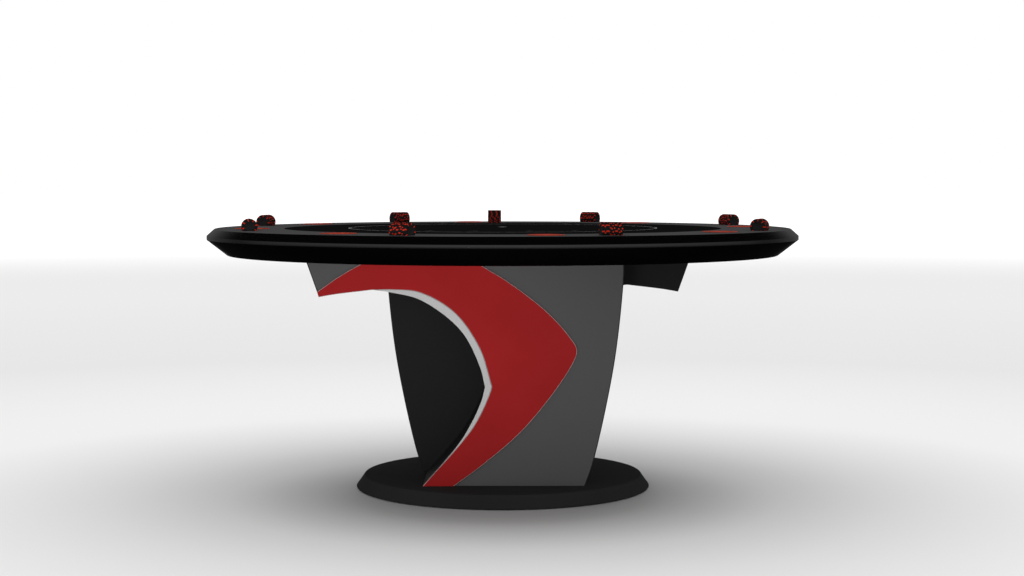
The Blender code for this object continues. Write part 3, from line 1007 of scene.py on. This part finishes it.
@dataclass
class RoundTop:
    """The cloth on its board, the rail with its holes and troughs, the rim and the underside."""

    steps: int = 288
    cloth_thickness: float = 0.0006
    cloth_turn_down: float = 0.006
    cloth_edge: float = 0.0016
    cloth_rings: tuple[float, ...] = (0.0, 0.25, 0.5, 0.75, 1.0)
    board_drop: float = 0.0007
    line_radius: float = 0.450
    line_width: float = 0.0042
    ink: Point = (0.00002, 0.00012)
    mark_size: Point = (0.014, 0.020)
    bright_mark: Point = (-0.002, 0.101)
    faint_marks: tuple[Point, ...] = (
        (-0.200, -0.314),
        (-0.0755, -0.343),
        (0.0755, -0.343),
        (0.200, -0.314),
        (-0.196, 0.493),
        (0.196, 0.493),
    )
    rail_arris: float = 0.0006
    rail_sharp: float = 40.0
    rim_arris: float = 0.0011
    rim_sharp: float = 20.0
    rim_top_land: float = 0.022
    rim_wall: float = 0.070
    underside_inset: float = 0.058
    underside_arris: float = 0.0008
    nose_height: float = 0.0111
    upper_chamfer: float = 0.0195
    rail_ledge: float = 0.0452
    cup_hole_radius: float = 0.0427
    trough_clearance: float = 0.0005
    hole_steps: int = 72
    hole_reach: float = 0.01
    screws: Screws = field(default_factory=lambda: Screws(24, 0.745, 0.0042))

    def build(self) -> None:
        """Build the whole top."""
        self.cloth()
        self.printing()
        self.rail()
        self.rim()
        self.underside()

    def cloth(self) -> None:
        """The black cloth, turned down round the edge of its board."""
        low, top = span("playing_surface")
        radius = radius_of("playing_surface")
        inside = radius - self.board_drop
        under = top - self.board_drop
        profile = [(0.0, under), (inside, under), (inside, low), (0.0, low)]
        board = turned(profile, self.steps)
        carrier = piece("cloth_board", board, [PLYWOOD], stands_for=["playing_surface"])
        rings = [(radius * share, top) for share in self.cloth_rings]
        shape = turned([*rings, (radius, top - self.cloth_turn_down)], self.steps)
        ease(shape, self.cloth_edge, 4)
        if sum(face.normal.z for face in shape.faces) < 0:
            bmesh.ops.reverse_faces(shape, faces=shape.faces)
        bmesh.ops.solidify(shape, geom=list(shape.faces), thickness=self.cloth_thickness)
        cloth = piece("playing_cloth", shape, [BLACK_CLOTH])

    def printing(self) -> None:
        """The betting line and the plain diamond marks, as thin ink on the cloth."""
        top = span("playing_surface")[1]
        low, high = (top + height for height in self.ink)
        inner = self.line_radius - self.line_width / 2
        outer = self.line_radius + self.line_width / 2
        profile = [(inner, low), (outer, low), (outer, high), (inner, high)]
        piece("betting_line", turned(profile, self.steps, closed=True), [CLOTH_PRINT])
        piece("bright_mark", self.diamonds([self.bright_mark], low, high), [CLOTH_PRINT])
        piece("faint_marks", self.diamonds(self.faint_marks, low, high), [FAINT_PRINT])

    def diamonds(self, places: Iterable[Point], low: float, high: float) -> BMesh:
        """Diamonds printed flat on the cloth.

        Args:
            places: Their middles.
            low: The ink's underside.
            high: The ink's top.

        Returns:
            The diamonds.
        """
        shape = bmesh.new()
        for x, y in places:
            made = bmesh.ops.create_cone(
                shape, cap_ends=True, segments=4, radius1=1.0, radius2=1.0, depth=high - low
            )
            bmesh.ops.scale(shape, vec=(*self.mark_size, 1.0), verts=made["verts"])
            bmesh.ops.translate(shape, vec=(x, y, (low + high) / 2), verts=made["verts"])
        return outward(shape)

    def rail(self) -> None:
        """The flat rail, cut for the cup holders and the rows of chips."""
        nodes = numbered("rail")
        low, top = span(nodes[0])
        inner = radius_of("playing_surface") + GAP
        outer = radius_of(nodes[0])
        profile = [(inner, low), (outer, low), (outer, top), (inner, top)]
        ring = turned(profile, self.steps, closed=True)
        shape = carved(ring, self.cutters(low, top))
        ease(shape, self.rail_arris, 2, self.rail_sharp)
        piece("rail", shape, [RAIL_LAMINATE], stands_for=nodes)

    def cutters(self, low: float, top: float) -> BMesh:
        """Cylinders for the cup holders' holes and the rows' troughs.

        Args:
            low: The rail's underside.
            top: The rail's top.

        Returns:
            The cutters.
        """
        shape = bmesh.new()
        depth = top - low + 2 * self.hole_reach
        for node in numbered("cup_holder"):
            middle = centre_of(node)
            place = Matrix.Translation((middle.x, middle.y, (low + top) / 2))
            cylinder(shape, self.cup_hole_radius, depth, place, self.hole_steps)
        radius = ChipSet.radius + self.trough_clearance
        length = ChipSet.row_length + 2 * self.trough_clearance
        for node, angle in zip(numbered("chip_row"), ChipSet.row_angles):
            cylinder(shape, radius, length, lying(node, angle), self.hole_steps)
        return shape

    def rim(self) -> None:
        """The black rim: two slopes either side of an upright nose, and a ledge for the rail."""
        low, top = span("rim")
        outer = radius_of("rim")
        wall = outer - self.rim_wall
        rail_edge = radius_of("rail_1") + GAP
        nose_top = top - self.upper_chamfer
        ledge = low + self.rail_ledge
        profile = [
            (outer - self.rim_top_land, top),
            (outer, nose_top),
            (outer, nose_top - self.nose_height),
            (outer - self.underside_inset, low),
            (wall, low),
            (wall, ledge),
            (rail_edge, ledge),
            (rail_edge, top),
        ]
        ring = turned(profile, self.steps, closed=True)
        shape = ease(ring, self.rim_arris, 3, self.rim_sharp)
        piece("rim_ring", shape, [RIM_LACQUER], stands_for=["rim"])

    def underside(self) -> None:
        """The board that closes the top from below, with its ring of screws."""
        low, top = span("underside_board")
        radius = radius_of("underside_board")
        profile = [(0.0, top), (radius, top), (radius, low), (0.0, low)]
        shape = ease(turned(profile, self.steps), self.underside_arris, 2)
        piece("underside_panel", shape, [BLACK_LAMINATE], stands_for=["underside_board"])
        piece("underside_screws", self.screws.heads(low), [STEEL])


# --------------------------------------------------------------------------------------------------
# Cup holders and chips
# --------------------------------------------------------------------------------------------------


@dataclass
class CupHolders:
    """The drop-in cup holders: a domed flange, a slightly tapered wall and a stepped floor."""

    steps: int = 112
    flange_thickness: float = 0.0018
    flange_edge: float = 0.0007
    flange_slope: float = 0.0022
    mouth_slope: float = 0.0035
    mouth_drop: float = 0.0004
    wall: float = 0.0018
    outer_radius: float = 0.0417
    taper: float = 0.0006
    step_radius: float = 0.030
    step_height: float = 0.0012
    step_slope: float = 0.0008
    corner: float = 0.0036
    corner_sharp: float = 50.0
    lip: float = 0.0008
    lip_sharp: float = 9.0
    tolerance: float = 0.0002

    def build(self) -> None:
        """Build every cup holder on its own body."""
        for node in numbered("cup_holder"):
            shape = self.cup(node)
            middle = centre_of(node)
            bmesh.ops.translate(shape, vec=(middle.x, middle.y, 0.0), verts=shape.verts)
            wrap(shape, middle)
            piece(f"{node}_cup", shape, [ORANGE_CUP], f"{node}_piece", [node])

    def cup(self, node: str) -> BMesh:
        """One cup on the axis, at a node's height.

        Args:
            node: The cup holder's node.

        Returns:
            The cup.
        """
        low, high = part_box(node)
        flange = (high.x - low.x) / 2
        inner = self.outer_radius - self.wall
        under = high.z - self.flange_thickness
        floor = low.z + self.wall
        profile = [
            (0.0, floor + self.step_height),
            (self.step_radius, floor + self.step_height),
            (self.step_radius + self.step_slope, floor),
            (inner - self.taper, floor),
            (inner, high.z - self.mouth_drop),
            (inner + self.mouth_slope, high.z),
            (flange - self.flange_slope, high.z),
            (flange, under + self.flange_edge),
            (flange, under),
            (self.outer_radius, under),
            (self.outer_radius - self.taper, low.z),
            (0.0, low.z),
        ]
        shape = turned(profile, self.steps)
        foot = floor + self.tolerance
        reach = inner - 2 * self.taper
        ease(shape, self.corner, 5, self.corner_sharp, lambda edge: at_foot(edge, reach, foot))
        upper = under - self.tolerance
        return ease(shape, self.lip, 3, self.lip_sharp, lambda edge: edge.verts[0].co.z > upper)


def at_foot(edge: BMEdge, reach: float, height: float) -> bool:
    """Whether an edge runs round the foot of a wall.

    Args:
        edge: The edge.
        reach: The least distance from the axis.
        height: The greatest height.

    Returns:
        Whether it lies beyond that distance and below that height.
    """
    place = edge.verts[0].co
    return math.hypot(place.x, place.y) > reach and place.z < height


@dataclass
class ChipSet:
    """The rows of chips on the rail and the stack on the cloth, chip by chip."""

    radius: ClassVar[float] = 0.0215
    thickness: ClassVar[float] = 0.0034
    in_row: ClassVar[int] = 16
    row_length: ClassVar[float] = in_row * thickness
    row_angles: ClassVar[tuple[float, ...]] = (118.0, 151.0, 32.0, 76.5, 101.0, 145.0, 10.0, 69.5)

    in_stack: int = 12
    segments: int = 40
    group: int = 5
    spots: tuple[int, ...] = (0,)
    parting: float = 0.00003
    chamfer: float = 0.0005
    inlay_radius: float = 0.0125
    inlay_slope: float = 0.0005
    inlay_depth: float = 0.00025
    spot_depth: float = 0.0062
    play: float = 0.00016
    turns: tuple[int, ...] = (0, 0, 1, 2, 3)
    loose_turn: float = 3.0
    seed: int = 7
    whole: BMesh = field(init=False)
    plain: BMesh = field(init=False)
    chance: random.Random = field(init=False)

    def __post_init__(self) -> None:
        """Make the two chips that all the others are copies of."""
        self.chance = random.Random(self.seed)
        self.whole = self.chip(with_face=True)
        self.plain = self.chip(with_face=False)

    def chip(self, with_face: bool) -> BMesh:
        """One chip on the axis, its spots marked by material.

        Args:
            with_face: Whether its faces have their inlay, for a chip whose face is seen.

        Returns:
            The chip.
        """
        half = self.thickness / 2 - self.parting
        rim = [(self.radius - self.chamfer, half), (self.radius, half - self.chamfer)]
        face = [(0.0, half)]
        if with_face:
            sunk = half - self.inlay_depth
            face = [
                (0.0, sunk),
                (self.inlay_radius, sunk),
                (self.inlay_radius + self.inlay_slope, half),
                (self.radius - self.spot_depth, half),
            ]
        upper = face + rim
        lower = [(radius, -z) for radius, z in reversed(upper)]
        shape = turned(upper + lower, self.segments)
        for side in shape.faces:
            side.material_index = self.colour_of(side)
        return shape

    def colour_of(self, side: BMFace) -> int:
        """The material index of a chip's face.

        Args:
            side: The face.

        Returns:
            0 for the body, 1 for a spot and 2 for the inlay.
        """
        middle = side.calc_center_median()
        reach = math.hypot(middle.x, middle.y)
        if reach < self.inlay_radius:
            return 2
        turn = math.atan2(middle.y, middle.x) % FULL_TURN
        place = int(turn / FULL_TURN * self.segments) % self.group
        edge = reach > self.radius - self.spot_depth
        return int(edge and place in self.spots)

    def roll(self, place: Matrix, count: int) -> BMesh:
        """A roll of chips, each turned and shifted a little.

        Args:
            place: The roll's middle, its axis along Z.
            count: The number of chips.

        Returns:
            The roll.
        """
        rolled = bmesh.new()
        for number in range(count):
            source = self.whole if number in (0, count - 1) else self.plain
            along = (number - (count - 1) / 2) * self.thickness
            turn = FULL_TURN / self.segments * self.chance.choice(self.turns)
            turn += math.radians(self.chance.uniform(-self.loose_turn, self.loose_turn))
            aside = (
                self.chance.uniform(-self.play, self.play),
                self.chance.uniform(-self.play, self.play),
                along,
            )
            local = Matrix.Translation(aside) @ Matrix.Rotation(turn, 4, "Z")
            mesh = bpy.data.meshes.new("chip")
            source.to_mesh(mesh)
            mesh.transform(place @ local)
            rolled.from_mesh(mesh)
            bpy.data.meshes.remove(mesh)
        return rolled

    def build(self) -> None:
        """Build the rows and the stack, each on its own body."""
        finishes = [CHIP_BLACK, CHIP_RED, CHIP_INLAY]
        for node, angle in zip(numbered("chip_row"), self.row_angles):
            rolled = self.roll(lying(node, angle), self.in_row)
            piece(f"{node}_chips", rolled, finishes, f"{node}_piece", [node])
        stack = self.roll(Matrix.Translation(centre_of("chip_stack")), self.in_stack)
        piece("chip_stack_chips", stack, finishes, "chip_stack_piece", ["chip_stack"])
        self.whole.free()
        self.plain.free()


# --------------------------------------------------------------------------------------------------
# The pedestal and the base
# --------------------------------------------------------------------------------------------------


class Side(Enum):
    """The two halves of the pedestal."""

    FRONT = "front"
    REAR = "rear"


@dataclass
class PedestalHalf:
    """One shaped half: face, back and bent skins, with its red panel and silver crescent.

    The outlines are (x, z) points as seen from the half's own front. The rear half is the same,
    turned half way round the table's axis.
    """

    side: Side
    skin: float = 0.015
    raised: float = 0.006
    face_edge: float = 0.0028
    back_edge: float = 0.0012
    sharp: float = 40.0
    panel_edge: float = 0.0013
    trim_edge: float = 0.0008
    parting: Point = (-0.0008, -0.0004)
    crescent_ends: tuple[int, int] = (4, 2)
    wing_top: float = -0.5558
    wing_tip: Point = (-0.5161, 0.574)
    notch_tip: Point = (-0.0488, 0.3205)
    foot_left: float = -0.2250
    outer: tuple[Point, ...] = ((0.3393, 0.599), (0.3141, 0.378), (0.2567, 0.106))
    outer_top: float = 0.3428
    outer_foot: float = 0.2341
    wing: tuple[Point, ...] = ((-0.4692, 0.582), (-0.3658, 0.5945))
    notch_upper: tuple[Point, ...] = (
        (-0.3658, 0.5945),
        (-0.3101, 0.587),
        (-0.2275, 0.565),
        (-0.1168, 0.480),
        (-0.0634, 0.378),
    )
    notch_lower: tuple[Point, ...] = ((-0.0604, 0.277), (-0.1128, 0.174))
    crescent_upper: tuple[Point, ...] = (
        (-0.3658, 0.5945),
        (-0.3071, 0.595),
        (-0.2316, 0.587),
        (-0.1349, 0.531),
        (-0.0634, 0.429),
        (-0.0299, 0.322),
    )
    crescent_lower: tuple[Point, ...] = ((-0.0299, 0.322), (-0.0342, 0.306), (-0.0816, 0.208))
    red_wing: tuple[Point, ...] = ((-0.5208, 0.5885), (-0.4581, 0.632), (-0.4098, 0.660))
    red_wing_top: float = -0.3544
    red_outer_top: float = -0.0997
    red_outer: tuple[Point, ...] = (
        (-0.0544, 0.660),
        (0.0191, 0.615),
        (0.1269, 0.531),
        (0.1883, 0.463),
        (0.2097, 0.425),
        (0.1933, 0.378),
        (0.0664, 0.208),
        (-0.0503, 0.104),
    )
    red_foot: float = -0.1376
    floor: float = field(init=False)
    ceiling: float = field(init=False)
    front: float = field(init=False)
    face_back: float = field(init=False)
    back: Point = field(init=False)

    def __post_init__(self) -> None:
        """Read the heights and depths that the frame gives."""
        low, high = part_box("front_face_panel")
        self.floor, self.ceiling = low.z, high.z
        self.front, self.face_back = low.y, high.y
        low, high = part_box("front_back_panel")
        self.back = (low.y, high.y)

    def build(self) -> None:
        """Build the half's pieces."""
        self.add_face()
        back = ease(prism(self.outline(), *self.back), self.back_edge, 2, self.sharp)
        self.add("back", back, [BLACK_LAMINATE], ["back_panel"])
        depth = (self.face_back + GAP, self.back[0] - GAP)
        outer = prism(self.band(self.outer_run(), -1.0), *depth)
        self.add("outer_wall", outer, [BLACK_LAMINATE], ["outer_skin"])
        inner = prism(self.band(self.inner_run(), 1.0), *depth)
        self.add("inner_wall", inner, [BLACK_LAMINATE], ["notch_skin", "wing_end"])
        self.add_trim()

    def add_face(self) -> None:
        """The face, its grey laminate on the front and black edging all round."""
        shape = prism(self.outline(), self.front, self.face_back)
        ease(shape, self.face_edge, 3, self.sharp, self.on_front)
        for plane in shape.faces:
            plane.material_index = int(plane.normal.y > -SQUARE)
        self.add("face", shape, [GREY_LAMINATE, EDGE_BAND], ["face_panel"])

    def add_trim(self) -> None:
        """The raised red panel, its rounding in a light colour that is a painted highlight, and the
        silver crescent.
        """
        depth = (self.front - GAP - self.raised, self.front - GAP)
        red = prism(self.red_outline(), *depth)
        ease(red, self.panel_edge, 3, self.sharp, self.on_front)
        for plane in red.faces:
            # The rounding takes the light colour of a painted highlight along the panel's edge.
            plane.material_index = int(-SQUARE < plane.normal.y < -SLIGHT)
        self.add("red_swoosh", red, [RED_PANEL, RED_EDGE_PAINTED_HIGHLIGHT], ["red_panel"])
        crescent = prism(self.crescent_outline(), *depth)
        ease(crescent, self.trim_edge, 3, self.sharp, self.on_front)
        self.add("silver_crescent", crescent, [SILVER_TRIM], ["silver_trim"])

    def add(self, name: str, shape: BMesh, finishes: Sequence[Finish], nodes: Iterable[str]) -> None:
        """Turn a shape to its side of the table and make it a piece.

        Args:
            name: The piece's name within the half.
            shape: The shape, as for the front half. It is used up.
            finishes: Its finishes, in the order of its material indices.
            nodes: The nodes it stands for, named within the half.
        """
        if self.side is Side.REAR:
            half_turn = Matrix.Rotation(math.pi, 3, "Z")
            bmesh.ops.rotate(shape, cent=(0, 0, 0), matrix=half_turn, verts=shape.verts)
        label = self.side.value
        piece(f"{label}_{name}", shape, finishes, stands_for=[f"{label}_{node}" for node in nodes])

    def on_front(self, edge: BMEdge) -> bool:
        """Whether an edge is on a plate's front face.

        Args:
            edge: The edge.

        Returns:
            Whether it is, other than where the plate meets the base or the top.
        """
        first, last = (vert.co for vert in edge.verts)
        level = first.z == last.z and first.z in (self.floor, self.ceiling)
        return any(face.normal.y < -SQUARE for face in edge.link_faces) and not level

    def outer_run(self) -> list[Vector]:
        """The edge away from the notch, from top to foot."""
        points = [(self.outer_top, self.ceiling), *self.outer, (self.outer_foot, self.floor)]
        return smooth_run(points)

    def wing_run(self) -> list[Vector]:
        """The underside of the wing, from its tip to the notch."""
        return smooth_run([self.wing_tip, *self.wing])

    def notch_run(self) -> list[Vector]:
        """The notch, from the wing to the foot.

        Returns:
            Its points.
        """
        upper = smooth_run([*self.notch_upper, self.notch_tip])
        lower = smooth_run([self.notch_tip, *self.notch_lower, (self.foot_left, self.floor)])
        return joined(upper, lower)

    def inner_run(self) -> list[Vector]:
        """The whole edge on the notch's side, from the wing's top to the foot."""
        return joined([(self.wing_top, self.ceiling)], self.wing_run(), self.notch_run())

    def outline(self) -> list[Vector]:
        """The outline of the half."""
        return joined(self.inner_run(), reversed(self.outer_run()))

    def crescent_run(self) -> list[Vector]:
        """The line between the silver crescent and the red panel, from wing to foot.

        Returns:
            Its points.
        """
        upper = smooth_run(self.crescent_upper)
        lower = smooth_run([*self.crescent_lower, (self.foot_left, self.floor)])
        return joined(upper, lower)

    def red_outline(self) -> list[Vector]:
        """The outline of the red panel.

        Returns:
            Its points.
        """
        top, foot = self.ceiling, self.floor
        start = smooth_run([*self.red_wing, (self.red_wing_top, top)])
        outer = smooth_run([(self.red_outer_top, top), *self.red_outer, (self.red_foot, foot)], 10)
        return joined(start, outer, reversed(self.crescent_run()), reversed(self.wing_run()))

    def crescent_outline(self) -> list[Vector]:
        """The outline of the silver crescent, cut short at its two thin ends.

        Returns:
            Its points.
        """
        inner = [point + Vector(self.parting) for point in self.crescent_run()]
        first, last = self.crescent_ends
        return joined(self.notch_run()[first:-last], reversed(inner[first:-last]))

    def band(self, run: Sequence[Vector], hand: float) -> list[Vector]:
        """A run thickened to one side by the skin.

        Args:
            run: The outer face of the skin, from top to foot.
            hand: 1 to thicken to the left of the way along, and -1 to the right.

        Returns:
            The skin's outline.
        """
        inner = []
        for before, point, after in zip([run[0], *run], run, [*run[1:], run[-1]]):
            along = (after - before).normalized()
            shifted = point + hand * self.skin * Vector((-along.y, along.x))
            shifted.y = min(max(shifted.y, self.floor), self.ceiling)
            inner.append(shifted)
        return joined(run, reversed(inner))


@dataclass
class Base:
    """The round base: a lacquered shell, the plate that closes it from below and its glides."""

    steps: int = 256
    arris: float = 0.0014
    slope: float = 0.024
    lip: float = 0.002
    recess_clearance: float = 0.001
    top_wall: float = 0.012
    plate_edge: float = 0.0006
    screws: Screws = field(default_factory=lambda: Screws(12, 0.362, 0.0040))
    glide_steps: int = 48
    glide_edge: float = 0.0012
    glide_relief: float = 0.0004
    glide_ring: tuple[float, ...] = (0.62, 0.58, 0.30, 0.26)

    def build(self) -> None:
        """Build the shell, plate, screws and glides."""
        low, top = span("base_shell")
        outer = radius_of("base_shell")
        plate_radius = radius_of("base_cover_plate")
        recess = plate_radius + self.recess_clearance
        profile = [
            (0.0, top),
            (outer - self.slope, top),
            (outer, low + self.lip),
            (outer, low),
            (recess, low),
            (recess, top - self.top_wall),
            (0.0, top - self.top_wall),
        ]
        shell = ease(turned(profile, self.steps), self.arris, 3, 20.0)
        piece("base_disc", shell, [BASE_LACQUER], stands_for=["base_shell"])
        under, over = span("base_cover_plate")
        profile = [(0.0, over), (plate_radius, over), (plate_radius, under), (0.0, under)]
        plate = ease(turned(profile, self.steps), self.plate_edge, 2)
        piece("base_plate", plate, [BLACK_LAMINATE], stands_for=["base_cover_plate"])
        piece("base_screws", self.screws.heads(under), [STEEL])
        for node in numbered("glide", 4):
            self.glide(node)

    def glide(self, node: str) -> None:
        """One round glide with an eased foot and a shallow ring.

        Args:
            node: The glide's node.
        """
        low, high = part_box(node)
        radius = (high.x - low.x) / 2
        raised = low.z + self.glide_relief
        outer, outer_top, inner_top, inner = (radius * share for share in self.glide_ring)
        profile = [
            (0.0, high.z),
            (radius, high.z),
            (radius, raised),
            (radius - self.glide_edge, low.z),
            (outer, low.z),
            (outer_top, raised),
            (inner_top, raised),
            (inner, low.z),
            (0.0, low.z),
        ]
        shape = turned(profile, self.glide_steps)
        middle = centre_of(node)
        bmesh.ops.translate(shape, vec=(middle.x, middle.y, 0.0), verts=shape.verts)
        piece(f"{node}_pad", shape, [GLIDE_PLASTIC], stands_for=[node])


def dress_hidden_nodes() -> None:
    """Give the nodes that stay as they are their own finishes."""
    finishes = {
        "bed_board": PLYWOOD,
        "support_ring": PLYWOOD,
        "top_board": PLYWOOD,
        "bottom_board": PLYWOOD,
        "base_weight_ring": STEEL,
        "tie_rod": STEEL,
    }
    for name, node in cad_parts.items():
        finish = next((finish for stem, finish in finishes.items() if stem in name), None)
        if finish is None:
            continue
        node.data.materials.clear()
        node.data.materials.append(finish.material())
        log.info("%s: %s", name, finish.name)


# --------------------------------------------------------------------------------------------------
# The studio
# --------------------------------------------------------------------------------------------------


@dataclass
class Studio:
    """A pale floor that fades to white, soft light all round and a camera at standing height."""

    lens: float = 66.36
    camera: Place = (0.027, -5.548, 0.909)
    pitch: float = 3.345
    floor_size: float = 90.0
    floor_reach: float = 20.0
    # The floor's grey by distance from its centre: darkened close under the table as painted shadow,
    # and lighter round 1.9 m out as painted light.
    floor_painted_shade_and_light: tuple[Point, ...] = (
        (0.35, 0.33),
        (0.50, 0.53),
        (0.75, 0.73),
        (1.10, 0.80),
        (1.90, 0.91),
        (4.20, 0.80),
        (9.00, 0.84),
    )
    # The middle of the painted shadow and of the fade, set a little towards the camera.
    floor_centre: Place = (0.0, -0.21, 0.0)
    fade: Point = (11.5, 24.0)
    fade_strength: float = 0.4
    dome: float = 1.0
    side_range: Point = (-1.0, 0.45)
    side_strength: Point = (2.3, 0.15)
    mirrored: tuple[Point, ...] = (
        (0.410, 0.05),
        (0.470, 0.9),
        (0.600, 0.9),
        (0.700, 0.02),
        (1.000, 0.02),
    )
    key_place: Place = (-0.8, -4.4, 0.62)
    key_aim: Place = (-0.24, -0.25, 0.76)
    key_size: Point = (0.9, 0.3)
    key_power: float = 2.5
    key_spread: float = 26.0

    def build(self) -> None:
        """Build the floor, the light and the camera."""
        self.floor()
        self.world()
        self.key()
        self.view()
        bpy.context.scene.view_settings.view_transform = "Standard"

    def floor(self) -> None:
        """A wide floor with painted shade close under the table and a painted lighter ring further
        out, that grows white towards the distance.
        """
        shape = bmesh.new()
        bmesh.ops.create_grid(shape, x_segments=1, y_segments=1, size=self.floor_size)
        mesh = bpy.data.meshes.new("floor")
        shape.to_mesh(mesh)
        shape.free()
        floor = bpy.data.objects.new("floor", mesh)
        bpy.context.scene.collection.objects.link(floor)
        floor.visible_glossy = False
        shader = Shader("floor")
        away = shader.tree.nodes.new("ShaderNodeVectorMath")
        away.operation = "DISTANCE"
        away.inputs[1].default_value = self.floor_centre
        shader.link(shader.coordinates(), away, 0)
        distance = away.outputs["Value"]
        share = shader.combine("DIVIDE", distance, self.floor_reach)
        stops = [(reach / self.floor_reach, grey) for reach, grey in self.floor_painted_shade_and_light]
        # The base colour carries the painted shadow under the table and the painted lighter ring.
        shader.feed(self.greys(shader, share, stops), "Base Color")
        fade = shader.tree.nodes.new("ShaderNodeMapRange")
        fade.interpolation_type = "SMOOTHSTEP"
        fade.inputs["From Min"].default_value = self.fade[0]
        fade.inputs["From Max"].default_value = self.fade[1]
        fade.inputs["To Max"].default_value = self.fade_strength
        shader.link(distance, fade, "Value")
        shader.feed(fade.outputs["Result"], "Emission Strength")
        shader.set(Emission_Color=(1.0, 1.0, 1.0, 1.0), Roughness=0.9, Specular_IOR_Level=0.0)
        mesh.materials.append(shader.material)
        floor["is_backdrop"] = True

    @staticmethod
    def greys(shader: Shader, value: NodeSocket, stops: Sequence[Point]) -> NodeSocket:
        """A grey that follows a value through a ramp.

        Args:
            shader: The material that it is added to.
            value: What picks the grey.
            stops: The ramp's stops as (place, grey).

        Returns:
            The grey.
        """
        ramp = shader.tree.nodes.new("ShaderNodeValToRGB")
        Studio.fill(ramp, stops)
        shader.link(value, ramp, "Fac")
        return ramp.outputs["Color"]

    @staticmethod
    def fill(ramp: Node, stops: Sequence[Point]) -> None:
        """Give a ramp its stops.

        Args:
            ramp: The ramp's node.
            stops: Its stops as (place, grey).
        """
        elements = ramp.color_ramp.elements
        while len(elements) < len(stops):
            elements.new(1.0)
        for element, (place, grey) in zip(elements, stops):
            element.position = place
            element.color = (grey, grey, grey, 1.0)

    def world(self) -> None:
        """White behind, an even dome for soft light, and a bright band at eye level in reflections."""
        world = bpy.data.worlds.new("studio")
        bpy.context.scene.world = world
        world.use_nodes = True
        tree = world.node_tree
        tree.nodes.clear()
        around = tree.nodes.new("ShaderNodeTexCoord")
        parts = tree.nodes.new("ShaderNodeSeparateXYZ")
        tree.links.new(around.outputs["Generated"], parts.inputs["Vector"])
        height = tree.nodes.new("ShaderNodeMapRange")
        height.inputs["From Min"].default_value = -1.0
        tree.links.new(parts.outputs["Z"], height.inputs["Value"])
        band = tree.nodes.new("ShaderNodeValToRGB")
        self.fill(band, self.mirrored)
        tree.links.new(height.outputs["Result"], band.inputs["Fac"])
        ahead = tree.nodes.new("ShaderNodeMapRange")
        ahead.inputs["From Min"].default_value = self.side_range[0]
        ahead.inputs["From Max"].default_value = self.side_range[1]
        ahead.inputs["To Min"].default_value = self.side_strength[0]
        ahead.inputs["To Max"].default_value = self.side_strength[1]
        tree.links.new(parts.outputs["Y"], ahead.inputs["Value"])
        rays = tree.nodes.new("ShaderNodeLightPath")
        even = self.background(tree, self.dome)
        mirrored = self.background(tree, 1.0)
        tree.links.new(band.outputs["Color"], mirrored.inputs["Color"])
        tree.links.new(ahead.outputs["Result"], mirrored.inputs["Strength"])
        seen = self.background(tree, 1.0)
        light = even.outputs["Background"]
        for other, ray in ((mirrored, "Is Glossy Ray"), (seen, "Is Camera Ray")):
            mix = tree.nodes.new("ShaderNodeMixShader")
            tree.links.new(rays.outputs[ray], mix.inputs["Fac"])
            tree.links.new(light, mix.inputs[1])
            tree.links.new(other.outputs["Background"], mix.inputs[2])
            light = mix.outputs["Shader"]
        out = tree.nodes.new("ShaderNodeOutputWorld")
        tree.links.new(light, out.inputs["Surface"])

    @staticmethod
    def background(tree: NodeTree, strength: float) -> Node:
        """A white background shader.

        Args:
            tree: The world's nodes.
            strength: Its strength.

        Returns:
            The shader's node.
        """
        node = tree.nodes.new("ShaderNodeBackground")
        node.inputs["Color"].default_value = (1.0, 1.0, 1.0, 1.0)
        node.inputs["Strength"].default_value = strength
        return node

    def key(self) -> None:
        """A soft rectangular light in front, low and narrow, that mirrors do not show."""
        light = bpy.data.lights.new("key", "AREA")
        light.shape = "RECTANGLE"
        light.size, light.size_y = self.key_size
        light.energy = self.key_power
        light.spread = math.radians(self.key_spread)
        obj = bpy.data.objects.new("key", light)
        bpy.context.scene.collection.objects.link(obj)
        obj.location = self.key_place
        way = Vector(self.key_aim) - Vector(self.key_place)
        obj.rotation_euler = way.to_track_quat("-Z", "Y").to_euler()
        obj.visible_camera = False
        obj.visible_glossy = False

    def view(self) -> None:
        """The camera, level with a standing person's chest and tilted down a little."""
        data = bpy.data.cameras.new("camera")
        data.lens = self.lens
        data.sensor_width = 36.0
        data.clip_end = 300.0
        camera = bpy.data.objects.new("camera", data)
        bpy.context.scene.collection.objects.link(camera)
        camera.location = self.camera
        camera.rotation_euler = (math.radians(90.0 - self.pitch), 0.0, 0.0)
        bpy.context.scene.camera = camera


def corners(box: tuple[Vector, Vector]) -> list[list[float]]:
    """A box's two corners as plain numbers."""
    return [list(corner) for corner in box]


def main() -> None:
    """Build the table's looks round its frame."""
    logging.basicConfig(level=logging.INFO, format="%(name)s: %(message)s", stream=sys.stdout)
    cad_box = corners(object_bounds())
    dress_hidden_nodes()
    RoundTop().build()
    CupHolders().build()
    ChipSet().build()
    for side in Side:
        PedestalHalf(side).build()
    Base().build()
    Studio().build()
    sizes = {"cad": cad_box, "visual": corners(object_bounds())}


if __name__ == "__main__":
    main()
